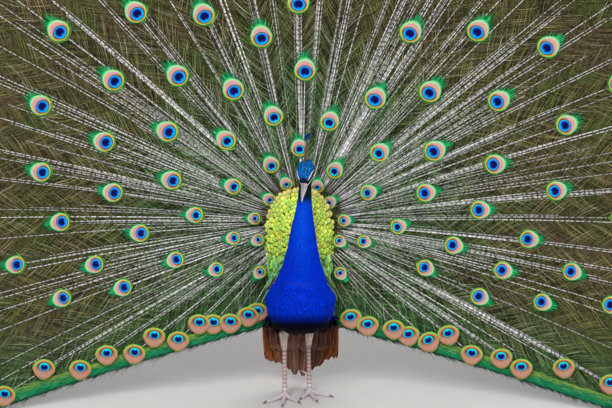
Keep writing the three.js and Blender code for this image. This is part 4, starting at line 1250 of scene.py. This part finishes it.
# Barb lines and a pale shaft from the feather's own map, with wavy bars across.
def vaneMaterial(name, shaft=(0.55, 0.45, 0.33), bars=0.0, barTint=(0.03, 0.02, 0.015), count=26.0, rough=0.6):
    mat = bpy.data.materials.new(name)
    mat.use_nodes = True
    tree = mat.node_tree
    bsdf = tree.nodes["Principled BSDF"]
    t, s = mapCoords(tree)
    tint = addNode(tree, "ShaderNodeAttribute", attribute_name="tint").outputs["Color"]
    where = addNode(tree, "ShaderNodeTexCoord").outputs["Object"]
    noise = addNode(tree, "ShaderNodeTexNoise", {"Vector": where}, Scale=110.0, Detail=2.0).outputs["Fac"]
    side = mathNode(tree, "ABSOLUTE", s)
    lean = mathNode(tree, "SUBTRACT", t, mathNode(tree, "MULTIPLY", side, 0.12))
    line = mathNode(tree, "SINE", mathNode(tree, "MULTIPLY", lean, 240.0))
    tone = mathNode(tree, "ADD", mathNode(tree, "MULTIPLY", line, 0.07), mathNode(tree, "MULTIPLY_ADD", noise, 0.5, 0.72))
    base = mixColor(tree, 1.0, tint, grey(tree, tone), "MULTIPLY")
    if bars:
        wavy = mathNode(tree, "MULTIPLY_ADD", noise, 2.4, mathNode(tree, "MULTIPLY", lean, count))
        dark = mathNode(tree, "MULTIPLY", mathNode(tree, "GREATER_THAN", mathNode(tree, "SINE", wavy), 0.0), bars)
        base = mixColor(tree, dark, base, barTint)
    base = mixColor(tree, mathNode(tree, "MULTIPLY", mathNode(tree, "LESS_THAN", side, 0.055), 0.8), base, shaft)
    tree.links.new(base, bsdf.inputs["Base Color"])
    bump = addNode(tree, "ShaderNodeBump", {"Height": line}, Strength=0.25, Distance=0.0004)
    tree.links.new(bump.outputs["Normal"], bsdf.inputs["Normal"])
    bsdf.inputs["Roughness"].default_value = rough
    return mat


# Large single feathers from root to tip points.
def feathers(name, shape, root, tip, normal, width, material, tone, stands=(), bend=0.0, sweep=0.0, thick=0.02):
    n = len(root)
    length = np.linalg.norm(tip - root, axis=1)
    along = unit(tip - root)
    above = unit(normal - along * (normal * along).sum(1, keepdims=True))
    made = stamp(shape, root, along, above, length, width, thick=thick, bend=bend, sweep=sweep)
    across = math.ceil(math.sqrt(n))
    local = np.c_[made["t"], np.tile(shape[0][:, 1], n)]
    cell = np.c_[made["which"] % across, made["which"] // across]
    bake = (cell + (0.06, 0.5) + local * (0.88, 0.36)) / across
    shade = np.asarray(tone)[made["which"]] if np.ndim(tone) == 2 else np.tile(tone, (len(local), 1))
    return addPiece(name, made["points"], made["tris"], material, tint=shade, bake=bake, eye=local, stands=stands)


tail = {"root": (0, 0.112 + shiftY, 0.372), "reach": 0.415, "inner": 0.030, "from": 4, "to": 176, "lean": 0.050, "count": 20}
primaries = {
    "root": [(0.093, 0.052, 0.204), (0.095, 0.098, 0.190), (0.072, 0.132, 0.200), (0.020, 0.146, 0.246)],
    "tips": [(0.097, 0.066, 0.086), (0.084, 0.092, 0.068), (0.050, 0.108, 0.044), (0.012, 0.112, 0.022)],
    "middle": -0.004, "count": 13,
}


def makeTail():
    n = tail["count"]
    turn = np.radians(np.linspace(tail["from"], tail["to"], n))
    way = np.c_[np.cos(turn), np.zeros(n), np.sin(turn)]
    start = np.array(tail["root"])
    order = 0.0016 * (np.abs(np.arange(n) - (n - 1) / 2))[:, None] * np.array([0, 1, 0])
    root = start + way * tail["inner"] + (0, 0.004, 0) + order
    tip = start + way * tail["reach"] + (0, -tail["lean"] + 0.004, 0) + order
    tone = np.array([0.14, 0.115, 0.09]) * np.exp(rng.normal(0, 0.08, (n, 1)))
    feathers("tailFeathers", vaneShape(14, 6, quill, camber=0.1, thick=0.02, ridge=0.10), root, tip,
             np.tile((0.0, 1.0, 0.0), (n, 1)), 0.064, vaneMaterial("tailVane", bars=0.35, count=60.0),
             tone, stands=("tail",), thick=0.030)


# Chestnut primaries outside, brown inner feathers behind the legs.
def makePrimaries():
    n = primaries["count"]
    root = spline([np.array(p) for p in primaries["root"]], n)
    tips = spline([np.array(p) for p in primaries["tips"]], n)
    u = np.linspace(0, 1, n)
    chestnut, brown = np.array([0.34, 0.085, 0.014]), np.array([0.15, 0.048, 0.022])
    mat = vaneMaterial("primaryVane", shaft=(0.42, 0.26, 0.15), bars=0.25, count=34.0)
    banded = vaneMaterial("innerWingVane", shaft=(0.26, 0.15, 0.11), bars=0.6, barTint=(0.22, 0.11, 0.09), count=22.0)
    for side, name in ((1, "left"), (-1, "right")):
        flip = np.array([side, 1, 1])
        start = root * flip + (primaries["middle"], shiftY, 0)
        end = tips * flip + (primaries["middle"], shiftY, 0)
        end = end + rng.normal(0, 0.003, end.shape) * (1, 1, 0) + np.c_[np.zeros((n, 2)), rng.uniform(0, 0.012, n)]
        facing = unit(np.c_[side * (0.96 - 0.56 * u), 0.28 + 0.59 * u, np.full(n, 0.1)])
        start = start - facing * 0.0022 * (np.arange(n) % 2)[:, None]
        tone = blendRows(np.tile(chestnut, (n, 1)), brown, ease(u, 0.45, 0.75)) * np.exp(rng.normal(0, 0.28, (n, 1)))
        feathers(f"primaries_{name}_vanes", vaneShape(12, 6, quill, camber=0.25, thick=0.03, ridge=0.10), start, end, facing,
                 0.019 + 0.012 * ease(u, 0.3, 0.7), mat, tone, stands=(f"primaries_{name}",), bend=-0.05,
                 thick=0.024)
        inner = u > 0.45
        m = int(inner.sum())
        start2 = start[inner] * (1, 1, 1) + facing[inner] * -0.006
        end2 = blendRows(start2, end[inner], np.full(m, 0.72)) + (0, -0.010, 0)
        feathers(f"innerWing_{name}", vaneShape(10, 6, quill, camber=0.25, thick=0.03, ridge=0.10), start2, end2, facing[inner],
                 0.044, banded, tone[inner] * 0.9, bend=-0.03, thick=0.024)


def covertOutline(t):
    return 0.45 + 0.55 * float(ease(t, 0, 0.35)) if t < 0.62 else math.sqrt(max(0.0009, 1 - ((t - 0.62) / 0.385) ** 2))


# Barred buff coverts on both drooped wings.
def makeCoverts(skin):
    shape = vaneShape(6, 4, covertOutline, camber=0.3, thick=0.03, ridge=0.05)
    mat = vaneMaterial("covertVane", shaft=(0.30, 0.22, 0.15), bars=0.85, count=22.0)
    for part in ("wing_left", "wing_right"):
        index = skin["names"].index(part)
        depth, spacing, long, wide, lift, lie = coat[part]
        root, normal, node = scatter(skin, lambda middle, node: (node == index) & (middle[:, 1] - shiftY > -0.02), spacing)
        along = lieAlong(normal, lie, 0.05)
        rise = math.radians(lift)
        along = along * math.cos(rise) + normal * math.sin(rise)
        n = len(root)
        back = ease(root[:, 1] - shiftY, -0.009, 0.111)
        size = (0.75 + 0.5 * back) * rng.uniform(0.9, 1.1, n)
        above = unit(np.cross(np.cross(along, normal), along))
        made = stamp(shape, root, along, above, long * size, wide * size, thick=0.014, bend=-0.10)
        tone = np.array([0.34, 0.26, 0.16]) * np.exp(rng.normal(0, 0.12, (n, 1)))
        local = np.c_[made["t"], np.tile(shape[0][:, 1], n)]
        addPiece(part + "_coverts", made["points"], made["tris"], mat, tint=tone[made["which"]],
                 bake=patches(made, skinPlaces(root, skin["names"], node), 0.02), eye=local)
        print(part, "coverts", n)


legs = {
    "left": {"foot": (0.019, 0.020), "ankle": (0.016, 0.054), "toes": ((-22, 0.056), (14, 0.074), (62, 0.058), (205, 0.024))},
    "right": {"foot": (-0.044, -0.015), "ankle": (-0.045, 0.024), "toes": ((-44, 0.066), (-4, 0.076), (36, 0.058), (170, 0.024))},
}
shank = {"ankleZ": 0.113, "scute": 0.0094, "toeScute": 0.0046, "claw": 0.013, "spurUp": 0.042, "spurReach": 0.027}


# Scaly shanks and feet, with the creases between the scutes in shape and colour.
def makeLegs():
    for name, limb in legs.items():
        mat = newMaterial(f"scales_{name}", (1, 1, 1), rough=0.5, mottle=0.14, grain=500, attribute="tint", bump=0.3)
        piece = softCopy(f"shank_{name}", (f"tarsus_{name}", f"foot_{name}"), 0.0011, 4, mat)
        mesh = piece.data
        points, normals = pointsOf(mesh), pointsOf(mesh, "normal")
        foot = np.array([limb["foot"][0], limb["foot"][1] + shiftY])
        flat = points[:, :2] - foot
        best = np.full(len(points), 9.0)
        far = np.zeros(len(points))
        for turn, reach in limb["toes"]:
            way = np.array([math.sin(math.radians(turn)), -math.cos(math.radians(turn))])
            run = flat @ way
            off = np.abs(flat @ np.array([way[1], -way[0]])) + np.maximum(0, -run)
            nearer = off < best
            best, far = np.where(nearer, off, best), np.where(nearer, run, far)
        onToe = points[:, 2] < 0.017
        phase = np.where(onToe, far / shank["toeScute"], points[:, 2] / shank["scute"]) % 1
        front = np.where(onToe, ease(normals[:, 2], 0.0, 0.5), ease(-normals[:, 1], -0.45, 0.1))
        crease = (1 - ease(phase, 0.0, 0.26) * (1 - ease(phase, 0.80, 1.0)))
        rise = np.where(onToe, 0.0005, 0.0008) * (np.sin(math.pi * phase) ** 0.7 - 0.5) * front
        plump = np.where(onToe, 0.0012, 0.0009) * ease(0.112 - points[:, 2], 0.0, 0.02)
        points = points + normals * (rise + plump)[:, None]
        points[:, 2] = np.maximum(points[:, 2], 0.0)
        mesh.vertices.foreach_set("co", points.astype(np.float32).ravel())
        n = len(points)
        pale, rosy, dark = np.array([0.42, 0.30, 0.28]), np.array([0.60, 0.51, 0.57]), np.array([0.14, 0.045, 0.035])
        tint = blendRows(np.tile(pale, (n, 1)), rosy, 1 - ease(points[:, 2], 0.01, 0.05))
        tint = blendRows(tint, dark, crease * (0.35 + 0.6 * front) * np.where(onToe, 0.5, 1.0))
        tint = blendRows(tint, np.array([0.30, 0.24, 0.22]), (1 - front) * 0.5)
        layer = mesh.color_attributes.new("tint", "FLOAT_COLOR", "POINT")
        layer.data.foreach_set("color", np.c_[tint, np.ones(n)].astype(np.float32).ravel())
        mesh.update()
        horn = newMaterial(f"claws_{name}", (0.085, 0.07, 0.065), rough=0.3, mottle=0.2, grain=300)
        for k, (turn, reach) in enumerate(limb["toes"]):
            way = np.array([math.sin(math.radians(turn)), -math.cos(math.radians(turn)), 0])
            base = np.array([foot[0], foot[1], 0]) + way * (reach - 0.002)
            rows = [(0, 4.0, 2.6, 2.7), (0.35, 4.9, 2.2, 2.3), (0.7, 3.6, 1.4, 1.6), (1.15, 0.8, 0.4, 0.5)]
            made = tube([(*(base + way * shank["claw"] * f + (0, 0, h / 1000)), w / 1000, u / 1000) for f, h, w, u in rows], 8, 10)
            made["points"][:, 2] = np.maximum(made["points"][:, 2], 0.0002)
            addPiece(f"talon_{name}_{k + 1}", made["points"], made["tris"], horn, stands=(f"claw_{name}_{k + 1}",))
        inward = -1 if name == "left" else 1
        share = shank["spurUp"] / shank["ankleZ"]
        start = np.array([limb["foot"][0] + (limb["ankle"][0] - limb["foot"][0]) * share,
                          foot[1] + (limb["ankle"][1] - limb["foot"][1]) * share, shank["spurUp"] + 0.008])
        way = unit(np.array([inward * 0.8, 0.6, 0.05]))
        rows = [(0.0, 4.0, 0), (0.35, 3.2, 0.0005), (0.7, 1.9, 0.0018), (1.0, 0.5, 0.004)]
        made = tube([(*(start + way * shank["spurReach"] * f + (0, 0, up)), r / 1000, r / 1000) for f, r, up in rows], 10, 12)
        pale = newMaterial(f"spurHorn_{name}", (0.50, 0.46, 0.42), rough=0.35, mottle=0.15, grain=200)
        addPiece(f"spurHorn_{name}_cone", made["points"], made["tris"], pale, stands=(f"spur_{name}",))
    print("legs ready")


face = {"billRoot": -0.0282, "billLong": 0.048, "billWide": 0.0155, "eyeAt": (0.0152, -0.009, 0.001), "eyeRadius": 0.0065}
crestFan = {"count": 22, "reach": 0.074, "fanned": 27, "tilt": 56, "tip": 0.0135}


def makeBill():
    half, long, start = face["billWide"] / 2, face["billLong"], face["billRoot"]
    upper = [(0, start + 0.004, -0.0036, half, 0.0048), (0, start - long * 0.2, -0.0040, half * 0.86, 0.0048),
             (0, start - long * 0.45, -0.0052, half * 0.66, 0.0043), (0, start - long * 0.7, -0.0070, half * 0.46, 0.0033),
             (0, start - long * 0.9, -0.0100, half * 0.26, 0.0019), (0, start - long, -0.0130, 0.0006, 0.0006)]
    lower = [(0, start + 0.005, -0.0108, half * 1.02, 0.0036), (0, start - long * 0.2, -0.0110, half * 0.90, 0.0032),
             (0, start - long * 0.5, -0.0113, half * 0.60, 0.0023), (0, start - long * 0.82, -0.0116, half * 0.22, 0.0010)]

    def keel(t, turn):
        return 1 + 0.07 * np.maximum(0, np.sin(turn)) ** 8 - 0.06 * np.exp(-((t - 0.24) / 0.07) ** 2) * np.abs(np.cos(turn)) ** 4

    for name, rows, node in (("billTop", upper, "bill_upper"), ("billUnder", lower, "bill_lower")):
        made = tube([(x, y, z, w, h) for x, y, z, w, h in rows], 22, 22, swell=keel if name == "billTop" else None)
        local = made["points"]
        n = len(local)
        pale, dark = (np.array([0.60, 0.50, 0.56]) if name == "billTop" else np.array([0.70, 0.66, 0.70])), np.array([0.10, 0.085, 0.12])
        culmen = ease(np.sin(made["s"]), 0.5, 0.95) * (1 - 0.5 * ease(made["t"], 0.5, 1))
        tint = blendRows(np.tile(pale, (n, 1)), dark, culmen * (0.75 if name == "billTop" else 0.0))
        nostril = np.exp(-((made["t"] - 0.24) / 0.055) ** 2 - ((np.abs(local[:, 2] + 0.0030)) / 0.0014) ** 2)
        tint = blendRows(tint, np.array([0.02, 0.015, 0.02]), np.clip(nostril * 1.3, 0, 1) * (name == "billTop"))
        mat = newMaterial(name + "Horn", (1, 1, 1), rough=0.35, mottle=0.12, grain=260, attribute="tint", bump=0.1)
        addPiece(name, fromHead(local), made["tris"], mat, tint=tint, stands=(node,))


# Dark brown eyes with lids round an almond opening.
def makeEyeballs(skinTree):
    for side, name in ((1, "left"), (-1, "right")):
        centre = np.array(face["eyeAt"]) * (side, 1, 1)
        axis = unit(np.array([side * 1.0, -0.22, 0.06]))
        east = unit(np.cross((0, 0, 1.0), axis))
        north = np.cross(axis, east)
        radius = face["eyeRadius"] * 0.98
        bm = bmesh.new()
        bmesh.ops.create_uvsphere(bm, u_segments=36, v_segments=20, radius=1)
        bmesh.ops.triangulate(bm, faces=bm.faces)
        ball, tris = closedShape(bm)
        away = ball[:, 2]
        local = centre + radius * (ball[:, :1] * east + ball[:, 1:2] * north + ball[:, 2:] * axis)
        iris = np.tile(np.array([0.055, 0.018, 0.008]), (len(ball), 1))
        tint = blendRows(iris, np.array([0.002, 0.002, 0.003]), ease(away, 0.84, 0.87))
        tint = blendRows(tint, np.array([0.012, 0.006, 0.005]), 1 - ease(away, 0.50, 0.60))
        mat = newMaterial(f"eyeGlass_{name}", (1, 1, 1), rough=0.06, mottle=0.02, grain=50, attribute="tint", coat=1.0, bump=0)
        addPiece(f"eyeball_{name}", fromHead(local), tris, mat, tint=tint, stands=(f"eye_{name}",))
        around, deep = 32, 6
        turn = np.arange(around) / around * 2 * math.pi
        wide, high = math.radians(52), math.radians(34)
        opening = 1 / np.sqrt((np.cos(turn) / wide) ** 2 + (np.sin(turn) / high) ** 2)
        rings = []
        for far, k in [(1.04, 0.0), (1.11, 0.12), (1.11, 0.4), (1.08, 0.75), (1.03, 1.0), (0.9, 1.0), (0.92, 0.4), (0.98, 0.0)]:
            tilt = opening + (math.radians(88) - opening) * k
            rings.append(centre + radius * far * (np.sin(tilt)[:, None] * (np.cos(turn)[:, None] * east + np.sin(turn)[:, None] * north)
                                                  + np.cos(tilt)[:, None] * axis))
        m = len(rings)
        points = np.concatenate(rings)
        i, j = np.meshgrid(np.arange(m), np.arange(around), indexing="ij")
        a, b = (i * around + j).ravel(), (i * around + (j + 1) % around).ravel()
        c, d = ((i + 1) % m * around + (j + 1) % around).ravel(), ((i + 1) % m * around + j).ravel()
        tris = np.concatenate([np.c_[a, b, c], np.c_[a, c, d]])
        volume = np.einsum("ij,ij->i", points[tris[:, 0]], np.cross(points[tris[:, 1]], points[tris[:, 2]])).sum()
        lidMat = newMaterial(f"lidSkin_{name}", (0.014, 0.018, 0.032), rough=0.5, mottle=0.25, grain=600)
        addPiece(f"lids_{name}", fromHead(points), tris if volume > 0 else tris[:, ::-1], lidMat)


bands = {  # bare or dark strips on the face: points in the head's own frame, half width, height, colour
    "bandOver": (((0.0100, -0.0250, 0.0050), (0.0150, -0.0180, 0.0085), (0.0186, -0.0080, 0.0100),
                  (0.0212, 0.0040, 0.0060)), 0.0013, 0.0010, (0.80, 0.80, 0.84)),
    "bandUnder": (((0.0062, -0.0320, -0.0150), (0.0125, -0.0235, -0.0130), (0.0180, -0.0125, -0.0105),
                   (0.0212, -0.0010, -0.0065)), 0.0026, 0.0013, (0.88, 0.87, 0.90)),
}


def makeBands(tree):
    for name, (line, half, rise, tone) in bands.items():
        for side, title in ((1, "left"), (-1, "right")):
            rows = spline(line, 22) * (side, 1, 1)
            run = unit(np.gradient(rows, axis=0))
            outward = unit(rows * (1, 0.25, 0.6))
            across = unit(np.cross(run, outward))
            share = np.linspace(0, 1, len(rows))
            width = half * np.sin(math.pi * np.clip(share * 0.94 + 0.03, 0, 1)) ** 0.5
            s = np.linspace(-1, 1, 7)
            grid = fromHead((rows[:, None] + across[:, None] * (width[:, None] * s[None])[..., None]).reshape(-1, 3))
            top, low = [], []
            for p, v in zip(grid, np.tile(s, len(rows))):
                spot, normal = tree.find_nearest(Vector(p))[:2]
                top.append(spot + normal * (0.0006 + rise * (1 - v * v)))
                low.append(spot - normal * 0.0012)
            n, cols = len(grid), 7
            i, j = np.meshgrid(np.arange(len(rows) - 1), np.arange(cols - 1), indexing="ij")
            a = (i * cols + j).ravel()
            face_ = np.concatenate([np.c_[a, a + cols, a + cols + 1], np.c_[a, a + cols + 1, a + 1]])
            rim = np.concatenate([np.arange(cols - 1), np.arange(len(rows) - 1) * cols + cols - 1,
                                  np.arange(cols - 1, 0, -1) + (len(rows) - 1) * cols, np.arange(len(rows) - 1, 0, -1) * cols])
            nxt = np.roll(rim, -1)
            walls = np.concatenate([np.c_[rim, nxt + n, nxt], np.c_[rim, rim + n, nxt + n]])
            points = np.array([tuple(v) for v in top + low])
            tris = np.concatenate([face_, face_[:, ::-1] + n, walls])
            volume = np.einsum("ij,ij->i", points[tris[:, 0]], np.cross(points[tris[:, 1]], points[tris[:, 2]])).sum()
            mat = newMaterial(f"{name}Skin_{title}", tone, rough=0.55, mottle=0.12, grain=700, bump=0.3)
            addPiece(f"{name}_{title}", points, tris if volume > 0 else tris[:, ::-1], mat)


# Bare shafts with small blue fans at their tips, spread in the plane of the bill.
def makeCrest():
    n = crestFan["count"]
    spread = (np.linspace(0, 1, n) - 0.5) * crestFan["fanned"]
    turn = np.radians(crestFan["tilt"] + spread)
    lean = rng.normal(0.07, 0.018, n)
    out = unit(np.c_[lean, np.sin(turn), np.cos(turn)])
    foot = np.c_[rng.normal(0, 0.0012, n), 0.015 + spread * 0.00016, np.full(n, 0.0195)]
    reach = crestFan["reach"] * rng.uniform(0.93, 1.0, n)
    shaftTip = foot + out * (reach - crestFan["tip"] * 0.5)[:, None]
    rod = lancet(4, 3, lambda t: 1 - 0.6 * t, flat=1.0)
    turnBack = np.array(headPlace)[:3, :3]
    along, up = out @ turnBack.T, np.tile((1.0, 0, 0), (n, 1)) @ turnBack.T
    made = stamp(rod, fromHead(foot), along, unit(np.cross(np.cross(along, up), along)), np.linalg.norm(shaftTip - foot, axis=1), 0.0011)
    mat = newMaterial("crestShaft", (0.15, 0.085, 0.07), rough=0.5, mottle=0.2, grain=300)
    addPiece("crestShafts", made["points"], made["tris"], mat, stands=("crest",))
    tipShape = vaneShape(8, 4, lambda t: 0.18 + 0.82 * float(ease(t, 0, 0.6)) if t < 0.7 else math.sqrt(max(0.001, 1 - ((t - 0.7) / 0.31) ** 2)), camber=0.1, thick=0.04)
    root = fromHead(foot + out * (reach - crestFan["tip"])[:, None])
    made = stamp(tipShape, root, along, unit(np.cross(np.cross(along, up), along)), crestFan["tip"], 0.0075, thick=0.007)
    blue, ink = np.array([0.0, 0.07, 0.42]), np.array([0.0, 0.006, 0.03])
    side = np.abs(np.tile(tipShape[0][:, 1], n))
    tint = blendRows(np.tile(blue, (len(made["t"]), 1)), ink, ease(side, 0.3, 0.9))
    mat = newMaterial("crestVane", (1, 1, 1), rough=0.5, mottle=0.15, grain=600, attribute="tint", shine=0.08)
    addPiece("crestTips", made["points"], made["tris"], mat, tint=tint)


# Short curled feathers on the head, dark along the eye stripe, with painted shadow darkening them to a dark teal on the
# lower side of the head and the throat.
def makeCrown(skin):
    index = skin["names"].index("head")
    depth, spacing, long, wide, lift, lie = coat["head"]

    def wanted(middle, node):
        local = toHead(middle)
        eyeOff = np.linalg.norm((np.abs(local[:, :1]) * (1, 0, 0) + local * (0, 1, 1)) - np.array(face["eyeAt"]), axis=1)
        return (node == index) & (eyeOff > 0.0085)

    root, normal, node = scatter(skin, wanted, spacing)
    local = toHead(root)
    away = fromHead(np.array([[0, 1.0, 0.15]])) - fromHead(np.zeros((1, 3)))
    along = lieAlong(normal, away, 0.45)
    up = ease(local[:, 2], -0.004, 0.006)
    rise = np.radians(6 + 20 * up)
    along = along * np.cos(rise)[:, None] + normal * np.sin(rise)[:, None]
    n = len(root)
    shape = vaneShape(4, 2, covertOutline, camber=0.5, thick=0.05, ridge=0.05)
    size = rng.uniform(0.8, 1.2, n) * (0.75 + 0.25 * up)
    made = stamp(shape, root - normal * 0.0005, along, unit(np.cross(np.cross(along, normal), along)), long * size, wide * size,
                 thick=0.0024, bend=-0.35)
    azure, cyan = np.array([0.0, 0.20, 0.88]), np.array([0.0, 0.42, 0.66])
    shadowTeal, ink = np.array([0.0, 0.03, 0.045]), np.array([0.0, 0.003, 0.012])
    tone = blendRows(np.tile(azure, (n, 1)), cyan, rng.uniform(0, 1, n) ** 3)
    # painted shadow: the curls on the lower side of the head darken to a dark teal
    tone = blendRows(np.tile(shadowTeal, (n, 1)), tone, ease(local[:, 2], -0.006, 0.006))
    tone = blendRows(tone, ink, ease(-local[:, 1], 0.0215, 0.0275) * 0.9)
    stripe = np.exp(-((local[:, 2] - 0.0012) / 0.0052) ** 2) * ease(np.abs(local[:, 0]), 0.007, 0.012) * (1 - ease(local[:, 1], 0.002, 0.018))
    tone = blendRows(tone, ink, stripe)
    tone *= np.exp(rng.normal(0, 0.35, n))[:, None]
    mat = newMaterial("crownVane", (1, 1, 1), rough=0.5, mottle=0.12, grain=900, attribute="tint", shine=0.10)
    tint = tone[made["which"]] * (0.02 + 1.25 * made["t"] ** 3)[:, None]
    addPiece("crownCurls", made["points"], made["tris"], mat, tint=tint,
             bake=patches(made, skinPlaces(root, skin["names"], node)))
    print("crown curls", n)


makeStage()
makeFan()
skin = makeSkin()
makeCoat(skin)
makeMantle(skin)
makeTail()
makePrimaries()
makeCoverts(skin)
makeLegs()
makeBill()
skinTree = BVHTree.FromPolygons([tuple(p) for p in skin["points"]], skin["tris"].tolist())
makeEyeballs(skinTree)
makeBands(skinTree)
makeCrest()
makeCrown(skin)
